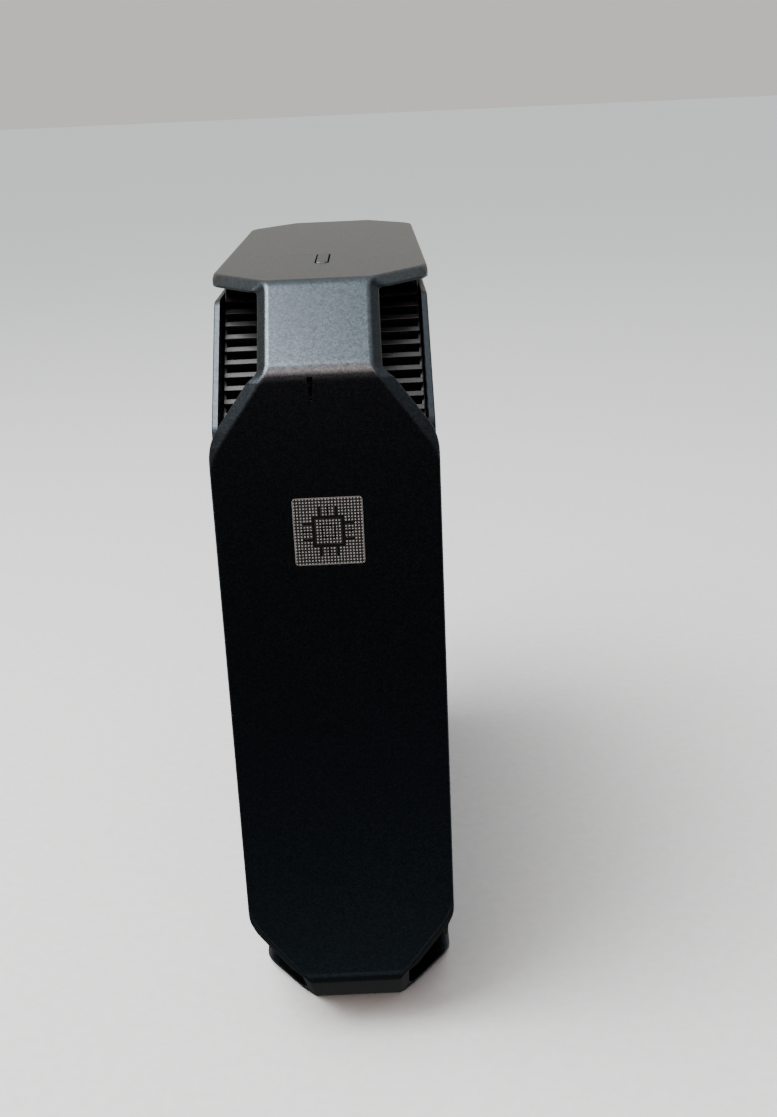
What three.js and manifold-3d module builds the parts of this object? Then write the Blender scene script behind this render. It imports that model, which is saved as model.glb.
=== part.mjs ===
// A small desktop workstation computer that stands on one edge: a square, slab-shaped case with
// beveled corners, wrapped by one band that narrows to a bridge across each bevel, so that air
// enters and leaves through louvred grilles on both sides of every bridge.
//
// Millimetres, +Z up. The front face looks along -Y, the access cover along +X. The origin is in
// the middle of the face that the case stands on.
import * as THREE from "three";
import { mergeVertices } from "three/addons/utils/BufferGeometryUtils.js";
import Module from "manifold-3d";

const wasm = await Module();
wasm.setup();

// ---- Driving dimensions ------------------------------------------------------------------------
const SIDE = 216; // the square case, edge to edge
const THICKNESS = 58; // across the band
const BEVEL = 19.6; // leg of each corner bevel
const FLARE = 21.8; // length over which the band narrows, measured from the fold
const BRIDGE_HALF = 13.1; // half width of the outer face of each bridge
const WALL = 3; // band wall
const RIM = 2.4; // chamfer round each corner opening, measured across the face
const RIM_DEPTH = 2.5; // the same chamfer, measured into the wall
const EDGE_BREAK = 0.5; // small chamfer on the band's long edges
const FOLD_RADIUS = 5.5; // outside radius where a face turns into a bevel
const COVER_HALF = 101.8; // half size of the two side covers
const COVER_CORNER = 174.9; // their upper bevels lie on |back| + |up| = this
const COVER_BASE_CORNER = 171.6; // and their lower bevels on this
const COVER_OUTER = 28.4;
const COVER_INNER = 26.8;
const GRILLE_CORNER = 167; // front plane of the grilles, as for the covers
const GRILLE_DEPTH = 6;
const GRILLE_HALF = 26.3;
const LOUVRE_PITCH = 4.1;
const LOUVRE_GAP = 2.5;
const LOUVRE_COUNT = 14;
const FOOT_OUTER = 30.1; // the feet stand this far out on the base side
const GAP = 0.3; // between pieces that touch on the real object

// ---- Worked out from those ---------------------------------------------------------------------
const HALF = SIDE / 2;
const EDGE = THICKNESS / 2;
const INSIDE = HALF - WALL; // inner surface of the band
const LIP = HALF - COVER_HALF - 2 * GAP; // depth of the lip round each cover
const LIP_WIDTH = EDGE - GRILLE_HALF - 0.1;
const LIP_REACH = HALF - BEVEL - FLARE - 14; // the lips end well before the band narrows
const SWING_LIP = 103.1; // where the lip beside the access cover's front edge begins
const DIAGONAL = Math.SQRT1_2;

// Most of the computer is drawn in the frame of this group: x towards the back, y up from the
// middle of the case, z across it towards the access cover.
const computer = new THREE.Group();
const core = new THREE.Group();
core.position.set(0, 0, HALF);
core.quaternion.setFromRotationMatrix(
  new THREE.Matrix4().makeBasis(
    new THREE.Vector3(0, 1, 0),
    new THREE.Vector3(0, 0, 1),
    new THREE.Vector3(1, 0, 0),
  ),
);
computer.add(core);
computer.position.x = (FOOT_OUTER - EDGE) / 2;

// ---- Materials ---------------------------------------------------------------------------------
const finish = (color, roughness, metalness) =>
  new THREE.MeshStandardMaterial({ color, roughness, metalness });
const paint = finish(0x2b2e31, 0.42, 0.55);
const coverPlastic = finish(0x1d1f21, 0.6, 0.1);
const blackPlastic = finish(0x101112, 0.55, 0);
const rubber = finish(0x0b0b0b, 0.9, 0);
const steel = finish(0x9a9da0, 0.35, 0.9);
const copper = finish(0xb06a3b, 0.35, 0.9);
const aluminium = finish(0xb9bcc0, 0.4, 0.9);
const circuit = finish(0x0f3a26, 0.6, 0);
const chip = finish(0x17181a, 0.45, 0);
const foil = finish(0x8d8c88, 0.4, 0.6);
const smoked = finish(0x050506, 0.15, 0);

// ---- Solids ------------------------------------------------------------------------------------
function toSolid(geometry) {
  const loose = geometry.index ? geometry.toNonIndexed() : geometry.clone();
  loose.deleteAttribute("normal");
  loose.deleteAttribute("uv");
  const merged = mergeVertices(loose, 1e-4);
  return new wasm.Manifold(
    new wasm.Mesh({
      numProp: 3,
      vertProperties: merged.attributes.position.array,
      triVerts: new Uint32Array(merged.index.array),
    }),
  );
}

function toGeometry(solid) {
  const made = solid.getMesh();
  const positions = new Float32Array(made.numVert * 3);
  for (let i = 0; i < made.numVert; i++)
    positions.set(made.vertProperties.subarray(i * made.numProp, i * made.numProp + 3), i * 3);
  const geometry = new THREE.BufferGeometry();
  geometry.setAttribute("position", new THREE.BufferAttribute(positions, 3));
  geometry.setIndex(new THREE.BufferAttribute(made.triVerts, 1));
  return geometry;
}

const joined = (...solids) => solids.reduce((a, b) => a.add(b));
const cut = (solid, ...tools) => tools.reduce((a, b) => a.subtract(b), solid);

function piece(name, solid, material, parent = core) {
  const mesh = new THREE.Mesh(toGeometry(solid), material);
  mesh.name = name;
  parent.add(mesh);
  return mesh;
}

// A block between two corners.
function block([x0, x1], [y0, y1], [z0, z1]) {
  const geometry = new THREE.BoxGeometry(x1 - x0, y1 - y0, z1 - z0);
  geometry.translate((x0 + x1) / 2, (y0 + y1) / 2, (z0 + z1) / 2);
  return toSolid(geometry);
}

// A flat plate of the given outline between two heights.
function plate(shape, z0, z1, curveSegments = 6) {
  const geometry = new THREE.ExtrudeGeometry(shape, {
    depth: z1 - z0,
    bevelEnabled: false,
    curveSegments,
  });
  geometry.translate(0, 0, z0);
  return toSolid(geometry);
}

// A round bar along z, or along x (the way the sockets face), or along y.
function bar(x, y, radius, z0, z1, sides = 20) {
  const geometry = new THREE.CylinderGeometry(radius, radius, z1 - z0, sides);
  geometry.rotateX(Math.PI / 2);
  geometry.translate(x, y, (z0 + z1) / 2);
  return toSolid(geometry);
}
function barBack(y, z, radius, x0, x1, sides = 20) {
  const geometry = new THREE.CylinderGeometry(radius, radius, x1 - x0, sides);
  geometry.rotateZ(Math.PI / 2);
  geometry.translate((x0 + x1) / 2, y, z);
  return toSolid(geometry);
}

const polygon = (points) => new THREE.Shape(points.map(([x, y]) => new THREE.Vector2(x, y)));

// A square whose four corners are cut to |x| + |y| <= corner, or <= baseCorner below its middle.
function cutSquare(half, corner, baseCorner = corner) {
  const points = [];
  for (const [sx, sy] of [[1, 1], [-1, 1], [-1, -1], [1, -1]]) {
    const rest = (sy > 0 ? corner : baseCorner) - half;
    const ends = [
      [sx * half, sy * rest],
      [sx * rest, sy * half],
    ];
    points.push(...(sx * sy > 0 ? ends : ends.reverse()));
  }
  return polygon(points);
}

function roundedRectangle(x0, x1, y0, y1, r) {
  const shape = new THREE.Shape();
  shape.moveTo(x0 + r, y0);
  shape.lineTo(x1 - r, y0);
  shape.absarc(x1 - r, y0 + r, r, -Math.PI / 2, 0);
  shape.lineTo(x1, y1 - r);
  shape.absarc(x1 - r, y1 - r, r, 0, Math.PI / 2);
  shape.lineTo(x0 + r, y1);
  shape.absarc(x0 + r, y1 - r, r, Math.PI / 2, Math.PI);
  shape.lineTo(x0, y0 + r);
  shape.absarc(x0 + r, y0 + r, r, Math.PI, 1.5 * Math.PI);
  return shape;
}

// ---- The band ----------------------------------------------------------------------------------
// Half width of the band along its length. s is the distance from a fold, positive towards the
// middle of the face and negative along the bevel. The outline is a polyline with round corners.
function roundedOutline(points, radii, steps = 6) {
  const outline = [points[0]];
  for (let i = 1; i < points.length - 1; i++) {
    const [ax, ay] = points[i - 1];
    const [bx, by] = points[i];
    const [cx, cy] = points[i + 1];
    const before = Math.atan2(by - ay, bx - ax);
    const turn = Math.atan2(cy - by, cx - bx) - before;
    const side = Math.sign(turn);
    const radius = radii[i - 1];
    const tangent = radius * Math.tan(Math.abs(turn) / 2);
    const startX = bx - tangent * Math.cos(before);
    const startY = by - tangent * Math.sin(before);
    const centreX = startX - side * radius * Math.sin(before);
    const centreY = startY + side * radius * Math.cos(before);
    for (let k = 0; k <= steps; k++) {
      const angle = before + (turn * k) / steps;
      outline.push([
        centreX + side * radius * Math.sin(angle),
        centreY - side * radius * Math.cos(angle),
      ]);
    }
  }
  outline.push(points[points.length - 1]);
  return outline;
}

function heightAt(outline, s) {
  const next = Math.max(1, outline.findIndex(([x]) => x >= s));
  const [x0, y0] = outline[next - 1];
  const [x1, y1] = outline[next];
  return y0 + ((y1 - y0) * (s - x0)) / (x1 - x0);
}

function bandSections() {
  const bevelMiddle = -BEVEL * DIAGONAL;
  const faceMiddle = HALF - BEVEL;
  const slope = (EDGE - BRIDGE_HALF) / FLARE;
  const bridgeRadius = 9;
  const shoulderRadius = 13;
  // The rim's foot runs parallel to the face's edge, RIM further out, until both reach the long
  // sides, where only the small edge break is left between them.
  const rise = RIM * Math.hypot(1, slope);
  const shift = (rise - RIM) / slope;
  const outline = (half, start, limit, radius) => {
    const end = start + (limit - half) / slope;
    const points = [[bevelMiddle, half], [start, half], [end, limit], [faceMiddle, limit]];
    return roundedOutline(points, [radius, shoulderRadius]);
  };
  const face = outline(BRIDGE_HALF, 0, EDGE - EDGE_BREAK, bridgeRadius);
  const foot = outline(BRIDGE_HALF + RIM, -shift, EDGE, bridgeRadius - RIM);
  const fold = FOLD_RADIUS * Math.tan(Math.PI / 8);
  const stations = [...face, ...foot].map(([s]) => s);
  for (let k = -3; k <= 3; k++) stations.push((fold * k) / 3);
  stations.sort((a, b) => b - a);
  const spaced = stations.filter((s, i) => i === 0 || stations[i - 1] - s > 0.25);
  return spaced.map((s) => {
    const outer = heightAt(face, s);
    const inner = heightAt(foot, s);
    const depth = RIM_DEPTH * Math.min(1, (inner - outer) / RIM);
    return { s, outer, inner, depth };
  });
}

// The point of the band's outside at distance s from the fold next to the face whose outward
// direction is angle, with the bevel on the side given by way (+1 or -1), and its outward normal.
function bandPoint(angle, way, s) {
  const fold = FOLD_RADIUS * Math.tan(Math.PI / 8);
  const turn = way * (s >= fold ? 0 : s <= -fold ? Math.PI / 4 : (Math.PI / 8) * (1 - s / fold));
  const normal = new THREE.Vector2(Math.cos(angle + turn), Math.sin(angle + turn));
  const out = new THREE.Vector2(Math.cos(angle), Math.sin(angle));
  const along = new THREE.Vector2(-out.y, out.x).multiplyScalar(way);
  const corner = out.clone().multiplyScalar(HALF).addScaledVector(along, HALF - BEVEL);
  if (s >= fold) return { point: corner.addScaledVector(along, -s), normal };
  if (s <= -fold) {
    const bevel = along.clone().sub(out).multiplyScalar(DIAGONAL);
    return { point: corner.addScaledVector(bevel, -s), normal };
  }
  const centre = corner.addScaledVector(along, -fold).addScaledVector(out, -FOLD_RADIUS);
  return { point: centre.addScaledVector(normal, FOLD_RADIUS), normal };
}

function bandShell() {
  const sections = bandSections();
  const ring = [];
  for (let side = 0; side < 4; side++) {
    const angle = (side * Math.PI) / 2;
    // From the middle of this face over its bevel to the middle of the next face.
    for (const section of sections) ring.push({ ...section, ...bandPoint(angle, 1, section.s) });
    const back = sections.slice(1, -1).reverse();
    for (const section of back)
      ring.push({ ...section, ...bandPoint(angle + Math.PI / 2, -1, section.s) });
  }
  const positions = [];
  for (const { point, normal, outer, inner, depth } of ring) {
    const corners = [
      [-outer, 0], [outer, 0], [inner, depth], [inner, WALL], [-inner, WALL], [-inner, depth],
    ];
    for (const [across, deep] of corners)
      positions.push(point.x - normal.x * deep, point.y - normal.y * deep, across);
  }
  const count = 6;
  const index = [];
  for (let i = 0; i < ring.length; i++) {
    const here = i * count;
    const next = ((i + 1) % ring.length) * count;
    for (let k = 0; k < count; k++) {
      const l = (k + 1) % count;
      index.push(here + k, next + k, next + l, here + k, next + l, here + l);
    }
  }
  const geometry = new THREE.BufferGeometry();
  geometry.setAttribute("position", new THREE.Float32BufferAttribute(positions, 3));
  geometry.setIndex(index);
  return toSolid(geometry);
}

// Turns a solid drawn at the back face to another face: 1 is the top, 2 the front, 3 the base.
const turned = (solid, quarter) => solid.rotate([0, 0, 90 * quarter]);

const BUTTON = { from: -52.5, to: -29.5, half: 2, proud: 0.3 };
const SWITCH_POST = { beyond: 3.7, half: 1.8 }; // beyond each end of the button's slot
const LIGHT = { across: -2.5, low: 80.9, high: 86.8, narrow: 0.3, wide: 0.7 };
const BADGE = { up: 47, half: 9, radius: 1 };
const PORT_WINDOW = { half: 58.6, low: -14.5, high: 5.5 };
const LATCH_TRAVEL = 7.5;
const LATCH_WINDOW = { low: -5.6, high: 5.6 + LATCH_TRAVEL, near: 13.8, far: 20.2 };
const LOCK_SLOT = { up: -44, half: 3.5, near: 15.5, far: 18.5 };

// Stands a flat plate up against the front face: what was drawn as (x, y) becomes (up, across),
// and its thickness runs into the case.
const intoFront = (geometry) =>
  geometry.applyMatrix4(
    new THREE.Matrix4().makeBasis(
      new THREE.Vector3(0, 1, 0),
      new THREE.Vector3(0, 0, 1),
      new THREE.Vector3(1, 0, 0),
    ),
  );

function lightSlot(margin, front, back) {
  const { across, low, high, narrow, wide } = LIGHT;
  const shape = polygon([
    [low - margin, across - narrow - margin],
    [high + margin, across - wide - margin],
    [high + margin, across + wide + margin],
    [low - margin, across + narrow + margin],
  ]);
  const geometry = new THREE.ExtrudeGeometry(shape, { depth: back - front, bevelEnabled: false });
  intoFront(geometry);
  geometry.translate(front, 0, 0);
  return toSolid(geometry);
}

function badgePlate(margin, front, back) {
  const { up, half, radius } = BADGE;
  const reach = half + margin;
  const outline = roundedRectangle(up - reach, up + reach, -reach, reach, radius + margin);
  const geometry = new THREE.ExtrudeGeometry(outline, {
    depth: back - front,
    bevelEnabled: false,
    curveSegments: 4,
  });
  intoFront(geometry);
  geometry.translate(front, 0, 0);
  return toSolid(geometry);
}

function sideBand() {
  let band = bandShell();
  for (let quarter = 0; quarter < 4; quarter++)
    for (const [near, far] of [[-EDGE + 0.6, -EDGE + LIP_WIDTH], [EDGE - LIP_WIDTH, EDGE - 0.6]]) {
      // The access cover swings about the lip in front of it, which is cut back to let it turn.
      const foot = quarter === 2 && far > 0 ? SWING_LIP : HALF - LIP;
      band = band.add(
        turned(block([foot, INSIDE + 0.5], [-LIP_REACH, LIP_REACH], [near, far]), quarter),
      );
    }
  // Two posts under the top face carry the switch board.
  const { beyond, half } = SWITCH_POST;
  for (const x of [BUTTON.from - beyond, BUTTON.to + beyond])
    band = band.add(block([x - half, x + half], [97.6 + GAP, INSIDE + 0.5], [-3, 3]));
  return cut(
    band,
    block([BUTTON.from, BUTTON.to], [INSIDE - 1, HALF + 1], [-BUTTON.half, BUTTON.half]),
    lightSlot(0, -HALF - 1, -INSIDE + 1),
    badgePlate(0.2, -HALF - 1, -HALF + 0.8),
    block(
      [INSIDE - 4, HALF + 1],
      [-PORT_WINDOW.half, PORT_WINDOW.half],
      [PORT_WINDOW.low, PORT_WINDOW.high],
    ),
    block(
      [INSIDE - 1, HALF + 1],
      [LATCH_WINDOW.low, LATCH_WINDOW.high],
      [LATCH_WINDOW.near, LATCH_WINDOW.far],
    ),
    block(
      [INSIDE - 1, HALF + 1],
      [LOCK_SLOT.up - LOCK_SLOT.half, LOCK_SLOT.up + LOCK_SLOT.half],
      [LOCK_SLOT.near, LOCK_SLOT.far],
    ),
  );
}
piece("side_band", sideBand(), paint);

// ---- Grilles -----------------------------------------------------------------------------------
// One louvred panel stands across each corner, behind the bridge.
function cornerGrille() {
  const halfLength = (2 * (INSIDE - 0.5) - GRILLE_CORNER) * DIAGONAL;
  const frame = new THREE.Shape();
  frame.moveTo(-GRILLE_HALF, -halfLength);
  frame.lineTo(GRILLE_HALF, -halfLength);
  frame.lineTo(GRILLE_HALF, halfLength);
  frame.lineTo(-GRILLE_HALF, halfLength);
  const slotHalf = GRILLE_HALF - 1.2;
  for (let i = 0; i < LOUVRE_COUNT; i++) {
    const middle = (i - (LOUVRE_COUNT - 1) / 2) * LOUVRE_PITCH;
    const hole = new THREE.Path();
    hole.moveTo(-slotHalf, middle - LOUVRE_GAP / 2);
    hole.lineTo(slotHalf, middle - LOUVRE_GAP / 2);
    hole.lineTo(slotHalf, middle + LOUVRE_GAP / 2);
    hole.lineTo(-slotHalf, middle + LOUVRE_GAP / 2);
    frame.holes.push(hole);
  }
  const panel = new THREE.ExtrudeGeometry(frame, { depth: GRILLE_DEPTH, bevelEnabled: false });
  // Stand the panel up with its width across the case and its front on x = GRILLE_CORNER / sqrt 2.
  panel.applyMatrix4(
    new THREE.Matrix4().makeBasis(
      new THREE.Vector3(0, 0, 1),
      new THREE.Vector3(0, 1, 0),
      new THREE.Vector3(-1, 0, 0),
    ),
  );
  panel.translate(GRILLE_CORNER * DIAGONAL, 0, 0);
  return toSolid(panel);
}
const CORNERS = { rear_top: 45, front_top: 135, front_base: 225, rear_base: 315 };
for (const [corner, degrees] of Object.entries(CORNERS))
  piece(`grille_${corner}`, cornerGrille().rotate([0, 0, degrees]), blackPlastic);

// ---- Covers, feet and cover screws -------------------------------------------------------------
const coverOutline = () => cutSquare(COVER_HALF, COVER_CORNER, COVER_BASE_CORNER);
const SCREW_PLACES = [[-84, 52], [84, 52], [84, -52], [-84, -52]];
const FOOT_PLACES = [[-66, 66], [66, 66], [66, -66], [-66, -66]];

function baseCover() {
  let cover = plate(coverOutline(), -COVER_OUTER, -COVER_INNER);
  for (const [x, y] of SCREW_PLACES)
    cover = cut(
      cover,
      bar(x, y, 3.2, -COVER_OUTER - 1, -COVER_OUTER + 1, 16),
      bar(x, y, 1.7, -COVER_OUTER - 1, -COVER_INNER + 1, 16),
    );
  return cover;
}
piece("base_cover", baseCover(), coverPlastic);

FOOT_PLACES.forEach(([x, y], i) => {
  const foot = bar(x, y, 8, -FOOT_OUTER, -COVER_OUTER - 0.2, 28);
  piece(`foot_${i + 1}`, foot, rubber);
});

function coverScrew(x, y) {
  const head = bar(x, y, 2.8, -COVER_OUTER + 0.1, -COVER_OUTER + 0.75, 16);
  const shank = bar(x, y, 1.35, -COVER_OUTER + 0.5, -18.5, 12);
  const socket = bar(x, y, 1.2, -COVER_OUTER - 1, -COVER_OUTER + 0.45, 6);
  return cut(joined(head, shank), socket);
}
SCREW_PLACES.forEach(([x, y], i) => piece(`cover_screw_${i + 1}`, coverScrew(x, y), steel));

function accessCover() {
  let cover = plate(coverOutline(), COVER_INNER, COVER_OUTER);
  // Two hooks reach under the front lip. The catch's foot lies under the latch's arm.
  for (const y of [-42, 42]) {
    cover = cover.add(block([-101.4, -99.4], [y - 7, y + 7], [25.2, COVER_INNER + 0.5]));
    cover = cover.add(block([-104.2, -99.4], [y - 7, y + 7], [24.8, 25.8]));
  }
  cover = cover.add(block([97.4, 99], [-22, -15], [17.5, COVER_INNER + 0.5]));
  cover = cover.add(block([97.4, 101.8], [-22, -15], [17.5, 19]));
  // A stiffening rib runs round the middle of the inner face.
  const rib = cutSquare(78, 132);
  rib.holes.push(cutSquare(76.4, 129.8));
  return cover.add(plate(rib, 25.2, COVER_INNER + 0.5));
}
piece("access_cover", accessCover(), coverPlastic);

// ---- Release latch -----------------------------------------------------------------------------
function releaseLatch() {
  const slide = block([102.9, INSIDE - GAP], [-14, 15], [11.5, 22.5]);
  const pad = block([INSIDE - GAP - 0.5, HALF - 0.2], [-5, 5], [14.2, 19.8]);
  const arm = block([99.4, 103.4], [-22, -15.5], [19.4, 22.5]);
  let latch = joined(slide, pad, arm, block([102.9, 103.4], [-22, -13.5], [16, 22.5]));
  for (const y of [-3, 0, 3])
    latch = cut(latch, block([HALF - 0.8, HALF + 1], [y - 0.5, y + 0.5], [14, 20]));
  return latch;
}
piece("release_latch", releaseLatch(), blackPlastic);

class Helix extends THREE.Curve {
  constructor(radius, length, turns) {
    super();
    Object.assign(this, { radius, length, turns });
  }
  getPoint(t, target = new THREE.Vector3()) {
    const angle = 2 * Math.PI * this.turns * t;
    return target.set(this.radius * Math.cos(angle), this.length * t, this.radius * Math.sin(angle));
  }
}

function roundWire(radius, sides = 8) {
  const points = [];
  for (let k = 0; k < sides; k++) {
    const angle = (2 * Math.PI * k) / sides;
    points.push(new THREE.Vector2(radius * Math.cos(angle), radius * Math.sin(angle)));
  }
  return new THREE.Shape(points);
}

const SPRING_FROM = -14.8;
const SPRING_STOP = 15.4;

function latchSpring() {
  const turns = 9;
  const geometry = new THREE.ExtrudeGeometry(roundWire(0.35, 6), {
    steps: turns * 10,
    extrudePath: new Helix(1.2, SPRING_STOP - SPRING_FROM - 1, turns),
  });
  geometry.translate(100.9, SPRING_FROM + 0.4, 20.8);
  return toSolid(geometry);
}
piece("latch_spring", latchSpring(), steel);

// ---- Power button and its switch ---------------------------------------------------------------
function powerButton() {
  const { from, to, half, proud } = BUTTON;
  const middle = (from + to) / 2;
  const outline = roundedRectangle(from + 0.4, to - 0.4, -half + 0.4, half - 0.4, 0.6);
  const cap = plate(outline, 0, WALL + 0.8 + proud, 3);
  // The cap is drawn flat and stood up on its flange.
  const upright = cap.rotate([-90, 0, 0]).translate([0, INSIDE - 0.8, 0]);
  const flange = block([from - 1.6, to + 1.6], [103.2, INSIDE - GAP - 0.2], [-3.6, 3.6]);
  const stem = block([middle - 1.5, middle + 1.5], [101.6, 103.5], [-1.5, 1.5]);
  return joined(upright, flange, stem);
}
piece("power_button", powerButton(), paint);

function powerSwitch() {
  const { from, to } = BUTTON;
  const middle = (from + to) / 2;
  const reach = SWITCH_POST.beyond + SWITCH_POST.half;
  const board = block([from - reach, to + reach], [96.4, 97.6], [-4, 4]);
  const body = block([middle - 3.1, middle + 3.1], [97.2, 99.6], [-3.1, 3.1]);
  const plunger = block([middle - 1.6, middle + 1.6], [99.2, 100.4], [-1.6, 1.6]);
  return joined(board, body, plunger);
}
piece("power_switch", powerSwitch(), circuit);

piece("activity_light", lightSlot(-0.15, -HALF + 0.5, -INSIDE + 3), smoked);
piece("badge", badgePlate(0, -HALF + 0.05, -HALF + 0.5), foil);

// ---- Tray and board ----------------------------------------------------------------------------
const BOARD = { low: -14.6, high: -13 };
const STANDOFFS = [[-70, 60], [-70, -60], [0, 74], [2, -76], [84, 50], [86, -2], [84, -50]];

function innerTray() {
  let tray = plate(cutSquare(98, 152), -26.4, -25.4);
  for (const [x, y] of STANDOFFS) tray = tray.add(bar(x, y, 2.6, -25.9, BOARD.low - GAP, 10));
  for (const [x, y] of SCREW_PLACES) {
    tray = tray.add(bar(x, y, 3.6, -25.9, -18, 12));
    tray = cut(tray, bar(x, y, 1.7, -27, -17, 12));
  }
  // Upright flanges along the front, top and base edges.
  tray = joined(
    tray,
    block([-98, -97], [24, 50], [-25.9, -12]),
    block([-98, -97], [-50, -24], [-25.9, -12]),
    block([-40, 50], [97, 98], [-25.9, -12]),
    block([-40, 50], [-98, -97], [-25.9, -12]),
  );
  return tray;
}
piece("inner_tray", innerTray(), steel);

function mainboard() {
  const outline = polygon([
    [-80, -70], [-70, -80], [68, -80], [98, -52], [98, 52], [68, 80], [-70, 80], [-80, 70],
  ]);
  let board = plate(outline, BOARD.low, BOARD.high);
  // Voltage regulators, chokes and the chipset.
  for (let i = 0; i < 6; i++)
    board = board.add(block([2, 8], [14 + i * 9, 20 + i * 9], [BOARD.high - 0.2, -9]));
  board = board.add(block([-6, 10], [-16, 0], [BOARD.high - 0.2, -11]));
  return board;
}
piece("mainboard", mainboard(), circuit);

// ---- Processor, graphics and their heat sinks --------------------------------------------------
const CPU = { x: 45, y: 41 };
function socketFrame() {
  const { x, y } = CPU;
  const outer = block([x - 24, x + 24], [y - 24, y + 24], [BOARD.high + GAP, -9.5]);
  return cut(outer, block([x - 19, x + 19], [y - 19, y + 19], [-11.5, -9]));
}
piece("processor_socket", socketFrame(), steel);

function processor() {
  const { x, y } = CPU;
  return joined(
    block([x - 18.7, x + 18.7], [y - 18.7, y + 18.7], [-11.2, -9.8]),
    block([x - 15, x + 15], [y - 15, y + 15], [-10, -7.2]),
  );
}
piece("processor", processor(), aluminium);

// A finned block: a base plate with fins that run front to back.
function heatSink(low, high, fins) {
  let sink = block([11, 78], [low, high], [-6.9, -4]);
  const pitch = (high - low - 0.8) / (fins - 1);
  for (let i = 0; i < fins; i++) {
    const y = low + 0.4 + i * pitch;
    sink = sink.add(block([11, 78], [y - 0.4, y + 0.4], [-4.5, 20]));
  }
  return sink;
}
piece("processor_heat_sink", heatSink(6, 76, 15), aluminium);
piece("graphics_heat_sink", heatSink(-76, -6, 15), aluminium);

function graphicsCard() {
  const card = block([14, 80], [-74, -10], [-10.6, -9.2]);
  const core = block([32, 58], [-55, -29], [-9.4, -7.2]);
  let made = joined(card, core);
  for (const y of [-70, -24])
    for (const x of [30, 48])
      made = made.add(block([x, x + 12], [y, y + 10], [-9.4, -8.2]));
  return made;
}
piece("graphics_card", graphicsCard(), circuit);
piece("graphics_connector", block([60, 78], [-73, -11], [BOARD.high + GAP, -10.6 - GAP]), chip);

class PipeRun extends THREE.CatmullRomCurve3 {}
function heatPipe(side) {
  const points = [
    [14, 70], [2, 70], [0.5, 56], [0.5, 26], [2, 12], [14, 12],
  ].map(([x, y]) => new THREE.Vector3(x - 4.5, side * y, 0));
  const geometry = new THREE.ExtrudeGeometry(roundWire(2, 8), {
    steps: 26,
    extrudePath: new PipeRun(points),
  });
  geometry.translate(0, 0, -0.6);
  return toSolid(geometry);
}
piece("processor_heat_pipe", heatPipe(1), copper);
piece("graphics_heat_pipe", heatPipe(-1), copper);

// ---- Blowers -----------------------------------------------------------------------------------
const BLOWER = { x: -48, y: 43.5, outer: 38, low: 4, high: 21, wall: 1.4, inlet: 25 };

// A scroll case: a round drum with a mouth that opens towards the back.
function blowerOutline(side, inset) {
  const { x, outer } = BLOWER;
  const radius = outer - inset;
  const shape = new THREE.Shape();
  const mouthEnd = x + 50 + (inset ? 2 : 0);
  shape.moveTo(x, side * radius);
  shape.lineTo(mouthEnd, side * radius);
  const lowEdge = 8 - inset;
  const start = Math.asin(lowEdge / radius);
  shape.lineTo(mouthEnd, side * -lowEdge);
  shape.lineTo(x + radius * Math.cos(start), side * -lowEdge);
  shape.absarc(x, 0, radius, side * -start, side * 0.5 * Math.PI, side > 0);
  return shape;
}
function blowerCase(side) {
  const { x, y, low, high, wall, inlet } = BLOWER;
  return cut(
    plate(blowerOutline(side, 0), low, high, 20),
    plate(blowerOutline(side, wall), low + wall, high - wall, 20),
    bar(x, 0, inlet, high - wall - 1, high + 1, 32),
  ).translate([0, side * y, 0]);
}
piece("blower_case_top", blowerCase(1), blackPlastic);
piece("blower_case_base", blowerCase(-1), blackPlastic);

function impeller(side) {
  const { x, y, low, high, wall } = BLOWER;
  const floor = low + wall + 0.8;
  const ceiling = high - wall - 0.8;
  let wheel = joined(
    bar(x, 0, 15, floor, ceiling, 28),
    bar(x, 0, 34, floor, floor + 1, 36),
  );
  const blades = 19;
  for (let i = 0; i < blades; i++) {
    const blade = block([24.5, 33.5], [-0.45, 0.45], [floor + 0.5, ceiling]);
    const swept = blade.translate([-24.5, 0, 0]).rotate([0, 0, side * 28]).translate([24.5, 0, 0]);
    wheel = wheel.add(swept.rotate([0, 0, (360 * i) / blades]).translate([x, 0, 0]));
  }
  return wheel.translate([0, side * y, 0]);
}
piece("blower_wheel_top", impeller(1), chip);
piece("blower_wheel_base", impeller(-1), chip);

function blowerBridge() {
  const { x, y, inlet } = BLOWER;
  const outline = polygon([
    [-90, -50], [-64, -84], [-2, -84], [-2, 84], [-64, 84], [-90, 50],
  ]);
  let bridge = plate(outline, 21.4, 22.4);
  for (const side of [-1, 1]) bridge = cut(bridge, bar(x, side * y, inlet + 2, 20, 24, 32));
  // A slot in the middle takes two fingers to lift the blowers out.
  return cut(bridge, plate(roundedRectangle(-16, -6, -22, 22, 4), 20, 24, 4));
}
piece("blower_bridge", blowerBridge(), steel);

// ---- Memory, storage, radio, sound, clock cell -------------------------------------------------
function memorySocket(y) {
  const low = BOARD.high + GAP;
  const body = block([-76, -6], [y, y + 5], [low, -7.4]);
  const arms = joined(
    block([-77.6, -75.6], [y, y + 30], [low, -8.8]),
    block([-6.4, -4.4], [y, y + 30], [low, -8.8]),
  );
  return cut(joined(body, arms), block([-75.4, -6.6], [y + 2, y + 6], [-10.9, -9.1]));
}
function memoryModule(y) {
  let module = block([-75, -7], [y + 2.4, y + 32], [-10.6, -9.4]);
  for (let i = 0; i < 4; i++)
    module = module.add(block([-72 + i * 16.5, -60 + i * 16.5], [y + 12, y + 22], [-9.6, -8.4]));
  return module;
}
for (const [i, y] of [6, 42].entries()) {
  piece(`memory_socket_${i + 1}`, memorySocket(y), blackPlastic);
  piece(`memory_module_${i + 1}`, memoryModule(y), circuit);
}

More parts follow.
